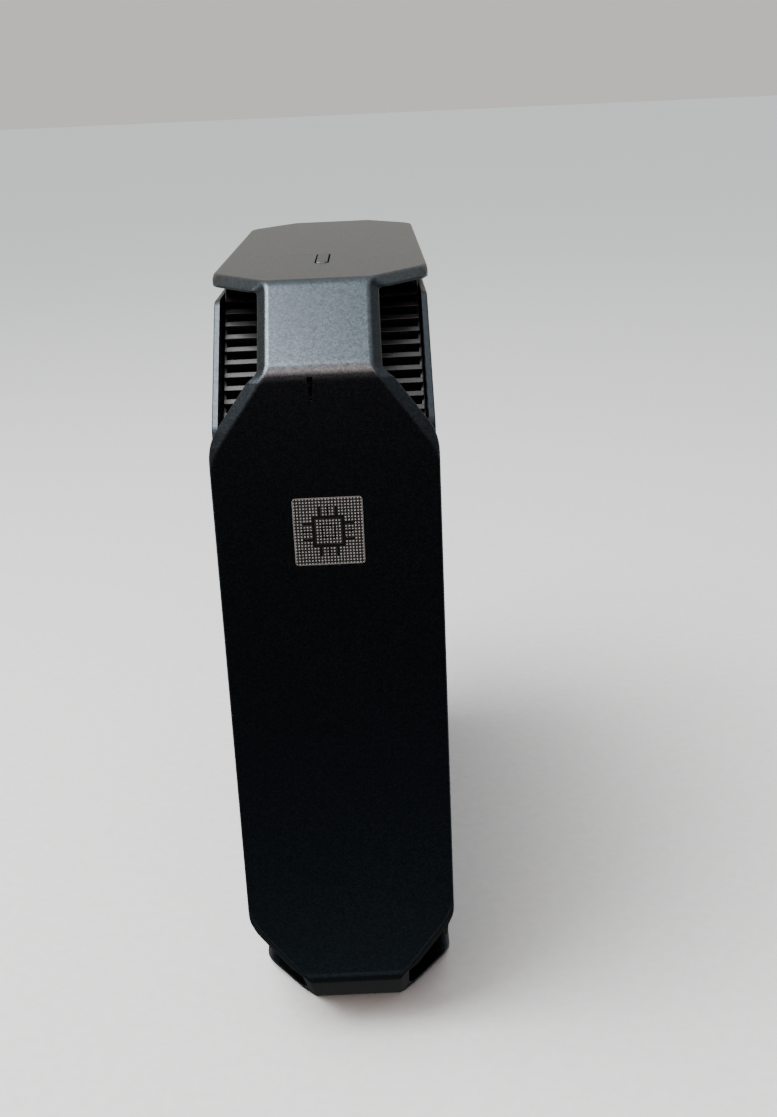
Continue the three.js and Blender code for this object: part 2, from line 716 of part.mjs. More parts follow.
function storageStick() {
  const low = BOARD.high + GAP;
  const stick = block([-74, 4], [-42, -20], [-10.8, -10]);
  const chips = joined(
    block([-66, -52], [-38, -24], [-10.2, -9]),
    block([-46, -28], [-38, -24], [-10.2, -9]),
    block([-24, -10], [-38, -24], [-10.2, -9]),
  );
  const socket = block([-78, -73.5], [-42, -20], [low, -9.4]);
  return joined(stick, chips, socket);
}
piece("solid_state_drive", storageStick(), circuit);

function radioCard() {
  return joined(
    block([-70, -40], [-68, -46], [-10.8, -10]),
    block([-62, -44], [-66, -49], [-10.2, -8.6]),
    block([-73, -69.5], [-68, -46], [BOARD.high + GAP, -9.4]),
  );
}
piece("radio_card", radioCard(), circuit);

piece("clock_cell", bar(-20, -60, 10, BOARD.high + GAP, -9.8, 28), steel);
piece("speaker", block([-104, -92], [-21, 21], [-24, -8]), blackPlastic);

function driveCage() {
  const shell = block([-62, 42], [-38, 36], [-25.1, -16.4]);
  return cut(
    shell,
    block([-63, 43], [-37, 35], [-26, -17.4]),
    block([-20, -4], [-20, 20], [-18, -16]),
    block([6, 22], [-20, 20], [-18, -16]),
  );
}
piece("drive_cage", driveCage(), steel);
piece("storage_drive", block([-60, 40], [-36, 34], [-24.9, -17.9]), aluminium);

piece("antenna_top", block([10, 46], [103.6, 104.5], [8, 17]), circuit);
piece("antenna_front", block([-104.5, -103.6], [-60, -30], [8, 17]), circuit);

function lead(points) {
  const route = new THREE.CatmullRomCurve3(points.map((p) => new THREE.Vector3(...p)));
  return toSolid(
    new THREE.ExtrudeGeometry(roundWire(0.6, 8), { steps: 34, extrudePath: route }),
  );
}
const LEAD_TOP = [
  [-64, -57, -8], [-66, -52, -3], [-62, -20, -2], [-62, 30, -2], [-54, 74, -1], [-26, 91, 3],
  [4, 98, 9], [12, 102.6, 12],
];
const LEAD_FRONT = [
  [-66, -63, -8], [-70, -60, -3], [-84, -54, -1], [-96, -50, 4], [-101, -47, 9], [-102.6, -45, 12],
];
piece("antenna_lead_top", lead(LEAD_TOP), blackPlastic);
piece("antenna_lead_front", lead(LEAD_FRONT), blackPlastic);

// ---- Rear sockets ------------------------------------------------------------------------------
const MOUTH = 105.4; // how far back the sockets reach
const SOCKET_LOW = BOARD.high + GAP;
const SOCKETS = {
  power_inlet: { y: 52.1, width: 11, height: 11 },
  network_socket: { y: 37.5, width: 16, height: 13.5 },
  usb_stack_1: { y: 21.2, width: 14.4, height: 15.6 },
  usb_stack_2: { y: 5.7, width: 14.4, height: 15.6 },
  display_socket_1: { y: -11.6, width: 18, height: 7.2 },
  display_socket_2: { y: -30.7, width: 18, height: 7.2 },
  usb_c_stack: { y: -45.6, width: 9.6, height: 9.4 },
  audio_socket: { y: -54.5, width: 6.6, height: 6 },
};
const socketBody = ({ y, width, height }, depth) =>
  block([MOUTH - depth, MOUTH], [y - width / 2, y + width / 2], [SOCKET_LOW, SOCKET_LOW + height]);

// A rectangular mouth with a contact tongue inside.
function cavity(y, z, width, height, depth, tongue) {
  const mouth = block(
    [MOUTH - depth, MOUTH + 1],
    [y - width / 2, y + width / 2],
    [z - height / 2, z + height / 2],
  );
  if (!tongue) return mouth;
  return cut(
    mouth,
    block(
      [MOUTH - depth - 1, MOUTH - 1.5],
      [y - tongue.width / 2, y + tongue.width / 2],
      [z + tongue.lift - tongue.height / 2, z + tongue.lift + tongue.height / 2],
    ),
  );
}

function powerInlet(place) {
  const z = SOCKET_LOW + place.height / 2;
  return cut(socketBody(place, 14), barBack(place.y, z, 3.8, MOUTH - 10, MOUTH + 1));
}
const networkSocket = (place) =>
  cut(socketBody(place, 20), cavity(place.y, SOCKET_LOW + 7, 12, 8.4, 13));
function usbStack(place) {
  const tongue = { width: 11.2, height: 1.8, lift: 0.9 };
  return cut(
    socketBody(place, 18),
    cavity(place.y, SOCKET_LOW + 4, 12.6, 5.2, 12, tongue),
    cavity(place.y, SOCKET_LOW + 11.6, 12.6, 5.2, 12, tongue),
  );
}
const displaySocket = (place) =>
  cut(
    socketBody(place, 16),
    cavity(place.y, SOCKET_LOW + 3.6, 16, 4.8, 9, { width: 12.6, height: 1.2, lift: 0.3 }),
  );
function usbCStack(place) {
  const tongue = { width: 6.8, height: 0.7, lift: 0 };
  return cut(
    socketBody(place, 10),
    cavity(place.y, SOCKET_LOW + 2.1, 8.6, 2.8, 6.5, tongue),
    cavity(place.y, SOCKET_LOW + 7.3, 8.6, 2.8, 6.5, tongue),
  );
}
const audioSocket = (place) =>
  cut(socketBody(place, 13), barBack(place.y, SOCKET_LOW + 3, 1.8, MOUTH - 11, MOUTH + 1, 16));

const SOCKET_MAKERS = {
  power: powerInlet,
  network: networkSocket,
  usb_stack: usbStack,
  display: displaySocket,
  usb_c: usbCStack,
  audio: audioSocket,
};
for (const [name, place] of Object.entries(SOCKETS)) {
  const kind = Object.keys(SOCKET_MAKERS).find((start) => name.startsWith(start));
  piece(name, SOCKET_MAKERS[kind](place), kind === "audio" ? blackPlastic : steel);
}

function socketPlate() {
  let shield = block([103.2, 104.2], [-59.6, 59.6], [-17.6, 9.2]);
  for (const { y, width, height } of Object.values(SOCKETS))
    shield = cut(
      shield,
      block(
        [102, 106],
        [y - width / 2 - GAP, y + width / 2 + GAP],
        [SOCKET_LOW - GAP, SOCKET_LOW + height + GAP],
      ),
    );
  // A tab folded inwards from its upper edge is what the latch spring pushes against.
  return joined(
    shield,
    block([99, 104.2], [SPRING_STOP, SPRING_STOP + 6], [8.2, 9.2]),
    block([99, 102.4], [SPRING_STOP, SPRING_STOP + 1], [8.2, 22.4]),
  );
}
piece("socket_plate", socketPlate(), steel);

export default computer;
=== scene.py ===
import math
import random

import bmesh
import bpy
from mathutils import Matrix, Vector


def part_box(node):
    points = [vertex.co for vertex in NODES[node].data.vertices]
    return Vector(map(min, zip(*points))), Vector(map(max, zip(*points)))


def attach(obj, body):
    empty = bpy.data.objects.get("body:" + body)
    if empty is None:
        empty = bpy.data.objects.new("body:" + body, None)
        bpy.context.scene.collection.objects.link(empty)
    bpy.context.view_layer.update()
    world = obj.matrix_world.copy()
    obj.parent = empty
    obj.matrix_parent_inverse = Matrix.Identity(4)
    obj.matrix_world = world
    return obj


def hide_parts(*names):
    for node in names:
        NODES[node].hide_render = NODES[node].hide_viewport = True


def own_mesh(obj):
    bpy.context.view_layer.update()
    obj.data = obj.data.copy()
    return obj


bl_info = {
    "name": "Edge-standing desktop computer",
    "version": (1, 0, 0),
    "blender": (4, 5, 0),
    "location": "3D View > Sidebar > Desktop computer",
    "description": "Builds the visible pieces of a small square desktop computer",
    "category": "Add Mesh",
}

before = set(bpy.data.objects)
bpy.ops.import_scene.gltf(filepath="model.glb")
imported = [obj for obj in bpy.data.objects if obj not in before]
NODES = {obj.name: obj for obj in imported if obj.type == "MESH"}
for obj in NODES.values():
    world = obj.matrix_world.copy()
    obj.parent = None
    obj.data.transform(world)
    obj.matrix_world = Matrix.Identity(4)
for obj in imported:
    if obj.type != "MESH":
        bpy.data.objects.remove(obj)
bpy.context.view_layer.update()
BAND_LOW, BAND_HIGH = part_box("side_band")
MIDDLE = (BAND_LOW + BAND_HIGH) / 2
MM = 0.001
HALF = (BAND_HIGH.z - MIDDLE.z) / MM  # half the height and the depth of the case

# Corners of the case, as the direction of each one in the back-up plane.
CORNERS = {"rear_top": 45, "front_top": 135, "front_base": 225, "rear_base": 315}


# ---- Settings ----------------------------------------------------------------------------------
def size_setting(name, description, size):
    return bpy.props.FloatProperty(
        name=name, description=description, default=size * MM, unit="LENGTH"
    )


def colour_setting(name, description, value):
    return bpy.props.FloatVectorProperty(
        name=name, description=description, default=value, subtype="COLOR"
    )


def number_setting(name, description, value):
    return bpy.props.FloatProperty(name=name, description=description, default=value)


class CaseSettings(bpy.types.PropertyGroup):
    """Sizes and colours of the case"""

    bevel: size_setting("Bevel", "Leg of each corner bevel", 19.6)
    flare: size_setting("Flare", "Length over which the band narrows", 21.8)
    bridge: size_setting("Bridge", "Half width of each bridge", 13.1)
    wall: size_setting("Wall", "Thickness of the band", 3)
    rim: size_setting("Rim", "Width of the chamfer round the corner openings", 2.4)
    rim_depth: size_setting("Rim depth", "Depth of that chamfer", 2.5)
    fold: size_setting("Fold radius", "Radius where the front or back turns into a bevel", 7.2)
    level_fold: size_setting("Level fold radius", "Same where the top or base turns", 4.6)
    shoulder: size_setting("Shoulder radius", "Radius where the band reaches its full width", 13)
    root: size_setting("Root radius", "Radius where a bridge starts to widen", 9)
    edge: size_setting("Edge radius", "Rounding of the band's long edges", 0.85)
    louvre_pitch: size_setting("Louvre pitch", "Distance between bars", 4.1)
    louvre_bar: size_setting("Louvre bar", "Thickness of each bar", 1.6)
    louvres: bpy.props.IntProperty(
        name="Louvres", description="Bars in each corner grille", default=15
    )
    paint: colour_setting("Paint", "Colour of the metallic paint", (0.088, 0.102, 0.115))


class StageSettings(bpy.types.PropertyGroup):
    """Floor, lights and camera"""

    floor_colour: colour_setting("Floor", "Colour of the floor", (0.80, 0.80, 0.79))
    overhead_power: number_setting("Overhead light", "Power of the large soft light", 25.0)
    front_power: number_setting("Front light", "Power of the low warm light", 9.5)
    fill_strength: number_setting("Fill light", "Strength of the even light on the floor", 1.45)
    lens: number_setting("Lens", "Focal length in millimetres", 42.97)


# ---- Modelling helpers -------------------------------------------------------------------------
def nothing_selected():
    if bpy.context.object and bpy.context.object.mode != "OBJECT":
        bpy.ops.object.mode_set(mode="OBJECT")
    bpy.ops.object.select_all(action="DESELECT")


def named(name):
    """The object just added, with its place and size moved into its mesh."""
    piece = bpy.context.active_object
    piece.name = piece.data.name = name
    bpy.ops.object.transform_apply(location=True, rotation=True, scale=True)
    return piece


def block(name, low, high, turn=0.0, about=None):
    """A block between two corners, in either order, turned about X round a point."""
    nothing_selected()
    low, high = (Vector(corner) for corner in zip(*(sorted(pair) for pair in zip(low, high))))
    place = (low + high) / 2
    if about is not None:
        place = about + Matrix.Rotation(turn, 3, "X") @ place
    bpy.ops.mesh.primitive_cube_add(
        size=1, location=place, rotation=(turn, 0, 0), scale=high - low
    )
    return named(name)


def at(across, back, height):
    """A place given in millimetres from the middle of the case: across, back and up."""
    return MIDDLE + Vector((across, back, height)) * MM


def core_block(name, across, back, height, soft=0, segments=2):
    """A block between two distances across, back and up, with its edges softened if asked."""
    made = block(name, *(at(*corner) for corner in zip(across, back, height)))
    if soft:
        soften(made, soft * MM, segments)
    return made


def core_box(node):
    """The lowest and highest corners of a node, in millimetres from the middle of the case."""
    return tuple((corner - MIDDLE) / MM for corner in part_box(node))


def drum(name, centre, radius, depth, axis="X", sides=32):
    """A round bar along X, Y or Z, centred on a point."""
    nothing_selected()
    turn = {"X": (0, math.pi / 2, 0), "Y": (math.pi / 2, 0, 0), "Z": (0, 0, 0)}[axis]
    bpy.ops.mesh.primitive_cylinder_add(
        vertices=sides, radius=radius, depth=depth, location=centre, rotation=turn
    )
    return named(name)


def only(piece):
    nothing_selected()
    piece.select_set(True)
    bpy.context.view_layer.objects.active = piece


def choose(piece, kind, test):
    """In edit mode, selects the vertices, edges or faces that pass the test."""
    if bpy.context.object is not piece or piece.mode != "EDIT":
        only(piece)
        bpy.ops.object.mode_set(mode="EDIT")
    bpy.ops.mesh.select_mode(type=kind)
    bpy.ops.mesh.select_all(action="DESELECT")
    mesh = bmesh.from_edit_mesh(piece.data)
    items = {"VERT": mesh.verts, "EDGE": mesh.edges, "FACE": mesh.faces}[kind]
    found = [item for item in items if test(item)]
    for item in found:
        item.select_set(True)
    mesh.select_flush_mode()
    bmesh.update_edit_mesh(piece.data)
    return len(found)


def runs_along(edge, axis):
    way = edge.verts[1].co - edge.verts[0].co
    return abs(way[axis]) > 0.999 * way.length


def lies_at(edge, axis, place, slack=1e-6):
    return all(abs(v.co[axis] - place) < slack for v in edge.verts)


def on_rim(edge, axis, place, slack=1e-6, turn=0.5):
    """True for an edge at that place of the axis where the surface turns."""
    return lies_at(edge, axis, place, slack) and edge.calc_face_angle(0) > turn


def round_edges(piece, test, radius, segments=3):
    if choose(piece, "EDGE", test):
        bpy.ops.mesh.bevel(
            offset=radius, segments=segments, affect="EDGES", profile=0.5, clamp_overlap=True
        )
    bpy.ops.object.mode_set(mode="OBJECT")


def modifier(piece, kind, **settings):
    only(piece)
    bpy.ops.object.modifier_add(type=kind)
    made = piece.modifiers[-1]
    for name, value in settings.items():
        setattr(made, name, value)
    bpy.ops.object.modifier_apply(modifier=made.name)


def soften(piece, width, segments=2, angle=40):
    modifier(
        piece, "BEVEL", width=width, segments=segments, limit_method="ANGLE",
        angle_limit=math.radians(angle), use_clamp_overlap=True,
    )


def carve(piece, *cutters):
    for cutter in cutters:
        modifier(piece, "BOOLEAN", operation="DIFFERENCE", solver="EXACT", object=cutter)
        bpy.data.objects.remove(cutter, do_unlink=True)


def weld(first, *others):
    """Joins pieces into one object."""
    nothing_selected()
    for other in others:
        other.select_set(True)
    first.select_set(True)
    bpy.context.view_layer.objects.active = first
    bpy.ops.object.join()
    return first


def repeated(piece, count, step):
    modifier(
        piece, "ARRAY", count=count, use_relative_offset=False, use_constant_offset=True,
        constant_offset_displace=step,
    )


def copied(piece, name, shift):
    nothing_selected()
    twin = piece.copy()
    twin.data = piece.data.copy()
    twin.name = twin.data.name = name
    bpy.context.collection.objects.link(twin)
    twin.data.transform(Matrix.Translation(shift))
    return twin


def finish(piece, body, material, slot, *nodes, angle=35):
    """Shades a finished piece, gives it its material and ties it to the body it moves with."""
    only(piece)
    bpy.ops.object.shade_smooth_by_angle(angle=math.radians(angle))
    modifier(piece, "WEIGHTED_NORMAL", keep_sharp=True, weight=60)
    piece.data.materials.clear()
    piece.data.materials.append(material)
    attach(piece, body)
    if nodes:
        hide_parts(*nodes)


# ---- Material helpers --------------------------------------------------------------------------
class Nodes:
    """Adds nodes to a tree."""

    def __init__(self, tree):
        self.tree = tree

    def node(self, kind, links=None, **settings):
        made = self.tree.nodes.new(kind)
        for name, value in settings.items():
            if name in made.inputs:
                made.inputs[name].default_value = value
            else:
                setattr(made, name, value)
        for name, source in (links or {}).items():
            self.tree.links.new(source, made.inputs[name])
        return made

    def feed(self, made, values):
        """Fills a node's inputs, each from a link, a colour or a number."""
        for socket, value in values.items():
            if isinstance(value, bpy.types.NodeSocket):
                self.tree.links.new(value, made.inputs[socket])
            elif isinstance(value, tuple):
                made.inputs[socket].default_value = (*value, 1.0)
            else:
                made.inputs[socket].default_value = value

    def calc(self, kind, *values):
        made = self.node("ShaderNodeMath", operation=kind)
        self.feed(made, dict(enumerate(values)))
        return made.outputs[0]

    def mix(self, factor, first, second):
        made = self.node("ShaderNodeMix", data_type="RGBA")
        self.feed(made, {0: factor, 6: first, 7: second})
        return made.outputs[2]

    def spread(self, source, low, high, start=0.3, end=0.7):
        """Maps a value from start..end to low..high."""
        made = self.node("ShaderNodeMapRange")
        self.feed(
            made,
            {"Value": source, "From Min": start, "From Max": end, "To Min": low, "To Max": high},
        )
        return made.outputs["Result"]


class Shader(Nodes):
    """A Principled material that textures in object space feed."""

    def __init__(self, name, **values):
        self.material = bpy.data.materials.new(name)
        self.material.use_nodes = True
        super().__init__(self.material.node_tree)
        self.main = self.tree.nodes["Principled BSDF"]
        self.place = self.node("ShaderNodeTexCoord").outputs["Object"]
        self.relief = None
        self.feed(self.main, {socket.replace("_", " "): v for socket, v in values.items()})

    def noise(self, scale, detail=3.0, roughness=0.55, stretch=None):
        source = self.place
        if stretch:
            mapped = self.node("ShaderNodeMapping", {"Vector": source})
            mapped.inputs["Scale"].default_value = stretch
            source = mapped.outputs["Vector"]
        made = self.node(
            "ShaderNodeTexNoise", {"Vector": source}, Scale=scale, Detail=detail,
            Roughness=roughness,
        )
        return made.outputs["Fac"]

    def cells(self, scale, channel):
        """Small cells, each with its own even value."""
        made = self.node("ShaderNodeTexVoronoi", {"Vector": self.place}, Scale=scale)
        return self.channel(made.outputs["Color"], channel)

    def channel(self, colour, name):
        return self.node("ShaderNodeSeparateColor", {"Color": colour}).outputs[name]

    def shade(self, colour, factor, low, high):
        """The colour, made darker or lighter where the texture is low or high."""
        dark = tuple(c * low for c in colour)
        light = tuple(min(c * high, 1) for c in colour)
        return self.mix(factor, dark, light)

    def to(self, socket, source):
        self.tree.links.new(source, self.main.inputs[socket])

    def bump(self, source, strength, distance):
        """Adds relief on top of any relief that is already there."""
        links = {"Height": source}
        if self.relief:
            links["Normal"] = self.relief
        made = self.node("ShaderNodeBump", links, Strength=strength, Distance=distance)
        self.relief = made.outputs["Normal"]
        self.to("Normal", self.relief)


def metallic_paint(name, colour, roughness=0.295, grain=1.0):
    """Dark satin paint with a fine aluminium flake."""
    s = Shader(name, Metallic=1.0)
    flake, fine = s.cells(2100, "Red"), s.cells(4200, "Green")
    base = s.shade(colour, s.spread(flake, 0.0, 1.0, 0.0, 1.0), 1 - 0.25 * grain, 1 + 0.27 * grain)
    cloud = s.spread(s.noise(38, 4), 0.0, 0.35)
    s.to("Base Color", s.mix(cloud, base, tuple(c * 0.86 for c in colour)))
    s.to("Roughness", s.spread(fine, roughness - 0.03, roughness + 0.05, 0.0, 1.0))
    s.bump(fine, 0.05 * grain, 0.00004)
    s.bump(s.noise(900, 2), 0.03, 0.0001)
    return s.material


def moulded(name, colour, roughness=0.5, texture=1400, strength=0.35, dust=0.0, gloss=0.5):
    """Moulded plastic or rubber with a spark-eroded texture."""
    s = Shader(name, Metallic=0.0, Specular_IOR_Level=gloss)
    base = s.shade(colour, s.spread(s.noise(55, 5), 0.0, 1.0), 0.8, 1.25)
    if dust:
        base = s.mix(s.spread(s.noise(210, 6), 0.0, dust, 0.5, 0.8), base, (0.30, 0.29, 0.27))
    s.to("Base Color", base)
    s.to("Roughness", s.spread(s.noise(320, 4), roughness - 0.07, roughness + 0.09))
    s.bump(s.noise(texture, 4), strength, 0.00008)
    return s.material


def bare_metal(name, colour, roughness, stretch, scratch):
    """Plated or bare metal with fine lines left by rolling or machining."""
    s = Shader(name, Metallic=1.0)
    lines = s.noise(scratch, 3, 0.6, stretch)
    s.to("Base Color", s.shade(colour, s.spread(s.noise(46, 5), 0.0, 1.0), 0.86, 1.08))
    s.to("Roughness", s.spread(lines, roughness - 0.08, roughness + 0.12))
    s.bump(lines, 0.10, 0.00004)
    return s.material


def circuit_board(name, colour):
    """Solder mask over copper tracks."""
    s = Shader(name, Metallic=0.0)
    bricks = s.node(
        "ShaderNodeTexBrick", {"Vector": s.place}, Scale=240, Color1=(0, 0, 0, 1),
        Color2=(0.1, 0.1, 0.1, 1), Mortar=(1, 1, 1, 1),
    )
    bricks.inputs["Mortar Size"].default_value = 0.03
    stretches = s.spread(s.noise(60, 2), 0.0, 1.0, 0.42, 0.52)
    tracks = s.calc("MULTIPLY", s.channel(bricks.outputs["Color"], "Red"), stretches)
    lit = tuple(c * 2.6 + 0.01 for c in colour)
    mask = s.mix(s.spread(s.noise(90, 4), 0.0, 1.0), colour, tuple(c * 0.75 for c in colour))
    s.to("Base Color", s.mix(tracks, mask, lit))
    s.to("Roughness", s.spread(s.noise(500, 3), 0.28, 0.42))
    s.bump(tracks, 0.3, 0.00005)
    return s.material


# ---- The band ----------------------------------------------------------------------------------
def rounded_line(points, radii, steps=8):
    """A polyline with its inner corners turned into arcs."""
    line = [Vector(points[0])]
    for before, corner, after, radius in zip(points, points[1:], points[2:], radii):
        into = (Vector(corner) - Vector(before)).normalized()
        out = (Vector(after) - Vector(corner)).normalized()
        turn = math.atan2(into.cross(out), into.dot(out))
        reach = radius * math.tan(abs(turn) / 2)
        centre = Vector(corner) - into * reach
        centre += Vector((-into.y, into.x)) * math.copysign(radius, turn)
        arm = Vector(corner) - into * reach - centre
        for k in range(steps + 1):
            line.append(centre + Matrix.Rotation(turn * k / steps, 2) @ arm)
    line.append(Vector(points[-1]))
    return line


def height_at(line, along):
    for a, b in zip(line, line[1:]):
        if b.x >= along:
            return a.y + (b.y - a.y) * (along - a.x) / max(b.x - a.x, 1e-9)
    return line[-1].y


def eased(corners, radii, steps=3):
    """A closed outline whose corners are rounded off."""
    outline = []
    most = 0.42  # of a side's length, so that the curves at its two ends never meet
    corners = [Vector(corner) for corner in corners]
    for i, corner in enumerate(corners):
        before, after = corners[i - 1], corners[(i + 1) % len(corners)]
        reach_in = min(radii[i], (before - corner).length * most)
        reach_out = min(radii[i], (after - corner).length * most)
        start = corner + (before - corner).normalized() * reach_in
        end = corner + (after - corner).normalized() * reach_out
        for k in range(steps + 1):
            t = k / steps
            outline.append(start * (1 - t) ** 2 + corner * 2 * t * (1 - t) + end * t * t)
    return outline


def band_sections(case):
    """Half widths of the band at stations from the middle of a face to the middle of a bevel."""
    edge = (BAND_HIGH.x - BAND_LOW.x) / 2
    bevel_middle, face_middle = -case.bevel * math.sqrt(0.5), HALF * MM - case.bevel
    slope = (edge - case.bridge) / case.flare
    shift = (case.rim * math.hypot(1, slope) - case.rim) / slope
    inset = 0.5 * MM  # of the painted face from the band's widest line
    closest = 0.22 * MM  # two stations nearer than this are taken as one

    def outline(start_half, start, limit, root):
        end = start + (limit - start_half) / slope
        corners = [
            (bevel_middle, start_half), (start, start_half), (end, limit), (face_middle, limit)
        ]
        return rounded_line(corners, [root, case.shoulder])

    face = outline(case.bridge, 0, edge - inset, case.root)
    foot = outline(case.bridge + case.rim, -shift, edge, case.root - case.rim)
    bend = case.fold * math.tan(math.pi / 8)
    places = [p.x for p in face + foot]
    places += [bend * k / 5 for k in range(-5, 6)]
    places += [face_middle * k / 6 for k in range(3, 6)]
    places.sort(reverse=True)
    kept = places[:1]
    for s in places[1:]:
        if kept[-1] - s > closest:
            kept.append(s)
    sections = []
    for s in kept:
        outer, inner = height_at(face, s), height_at(foot, s)
        depth = case.rim_depth * min(1, (inner - outer) / case.rim)
        sections.append((s, outer, inner, depth))
    return sections


def band_place(case, angle, way, s):
    """A point of the band's outside and its outward direction, in the back-up plane."""
    half = HALF * MM
    upright = abs(math.cos(angle)) > 0.5
    fold = case.fold if upright else case.level_fold
    bend = fold * math.tan(math.pi / 8)
    share = min(max((1 - s / bend) / 2, 0), 1)
    turn = way * share * math.pi / 4
    normal = Vector((math.cos(angle + turn), math.sin(angle + turn)))
    out = Vector((math.cos(angle), math.sin(angle)))
    along = Vector((-out.y, out.x)) * way
    corner = out * half + along * (half - case.bevel)
    if s >= bend:
        return corner - along * s, normal
    if s <= -bend:
        return corner + (along - out).normalized() * -s, normal
    return corner - along * bend - out * fold + normal * fold, normal


def wrapped_band(case):
    """A flat grid, wrapped round the case so that its rows go round the band's section."""
    sections = band_sections(case)
    ring = []
    for side in range(4):
        angle = side * math.pi / 2
        for s, *widths in sections:
            ring.append((*band_place(case, angle, 1, s), *widths))
        for s, *widths in reversed(sections[1:-1]):
            ring.append((*band_place(case, angle + math.pi / 2, -1, s), *widths))
    outlines = []
    rim_edge, inner_edge = 0.45 * MM, 0.25 * MM
    radii = [case.edge, case.edge, rim_edge, inner_edge, inner_edge, rim_edge]
    for point, normal, outer, inner, depth in ring:
        corners = [
            (-outer, 0), (outer, 0), (inner, depth), (inner, case.wall), (-inner, case.wall),
            (-inner, depth),
        ]
        outlines.append(
            [
                Vector((p.x, point.x - normal.x * p.y, point.y - normal.y * p.y))
                for p in eased(corners, radii)
            ]
        )
    rows, columns = len(outlines), len(outlines[0])
    nothing_selected()
    bpy.ops.mesh.primitive_grid_add(x_subdivisions=rows, y_subdivisions=columns, size=1)
    band = named("case_band")
    for vertex in band.data.vertices:
        row = round((vertex.co.x + 0.5) * rows) % rows
        column = round((vertex.co.y + 0.5) * columns) % columns
        vertex.co = outlines[row][column] + MIDDLE
    choose(band, "VERT", lambda v: True)
    bpy.ops.mesh.remove_doubles(threshold=1e-6)
    bpy.ops.mesh.normals_make_consistent(inside=False)
    bpy.ops.object.mode_set(mode="OBJECT")
    return band


def window(piece, name, across, back, height, radius, axis):
    """Cuts an opening with round corners that goes through a face along an axis."""
    cutter = core_block(name, across, back, height)
    round_edges(cutter, lambda e: runs_along(e, axis), radius * MM, 5)
    carve(piece, cutter)


def light_wedge(name, margin, front, back):
    """The wedge of the activity light's slot, as a block whose foot is drawn narrower."""
    middle, low, high = -2.5, 80.9 - margin, 86.8 + margin
    wide, narrow = 0.7 + margin, 0.3 + margin
    wedge = core_block(name, (middle - wide, middle + wide), (front, back), (low, high))
    centre = at(middle, front, low)
    choose(wedge, "VERT", lambda v: abs(v.co.z - centre.z) < MM)
    bpy.ops.transform.resize(value=(narrow / wide, 1, 1), center_override=centre)
    bpy.ops.object.mode_set(mode="OBJECT")
    return wedge


class COMPUTER_OT_band(bpy.types.Operator):
    """Add the painted band that wraps round the case"""

    bl_idname = "computer.band"
    bl_label = "Wrap-round band"

    def execute(self, context):
        case = context.scene.computer_case
        band = wrapped_band(case)
        key_low, key_high = core_box("power_button")
        near, far = key_low.y + 1.6, key_high.y - 1.6
        window(band, "key_window", (-2, 2), (near, far), (HALF - 4, HALF + 1), 0.8, 2)
        for name, across, height, deep, radius in (
            ("socket_window", (-14.5, 5.5), (-58.6, 58.6), 7, 1.2),
            ("latch_window", (13.8, 20.2), (-5.6, 13.1), 4, 1.5),
            ("lock_window", (15.5, 18.5), (-47.5, -40.5), 4, 1.2),
        ):
            window(band, name, across, (HALF - deep, HALF + 1), height, radius, 1)
        pocket = (-HALF - 1, -HALF + 0.8)
        window(band, "badge_pocket", (-9.2, 9.2), pocket, (37.8, 56.2), 1.2, 1)
        carve(band, light_wedge("light_slot", 0, -HALF - 1, -HALF + 4))
        # The openings' outer edges are broken so that they catch the light.
        for face, axis in ((BAND_HIGH.y, 1), (BAND_HIGH.z, 2), (BAND_LOW.y, 1)):
            round_edges(band, lambda e: on_rim(e, axis, face, turn=0.9), 0.22 * MM, 2)
        weld(band, *self.lips(), *self.posts(near, far))
        paint = metallic_paint("dark_metallic_paint", tuple(case.paint))
        finish(band, "case", paint, "dark_metallic_paint", "side_band", angle=38)
        return {"FINISHED"}

    def lips(self):
        """The lips beside the two covers, on all four faces."""
        made = []
        reach = 52.6 * MM
        for quarter in range(4):
            for side in (-1, 1):
                # The lip that the access cover turns about is cut back to let it swing.
                foot = 103.1 * MM if (quarter, side) == (2, 1) else 102.4 * MM
                low, high = (side * 26.4 * MM, foot, -reach), (side * 28.4 * MM, 105.4 * MM, reach)
                lip = block("lip", low, high, quarter * math.pi / 2, MIDDLE)
                soften(lip, 0.2 * MM)
                made.append(lip)
        return made

    def posts(self, near, far):
        """The two posts that hold the switch board."""
        return [
            core_block("post", (-3, 3), (y - 1.8, y + 1.8), (97.9, 105.4))
            for y in (near - 3.7, far + 3.7)
        ]


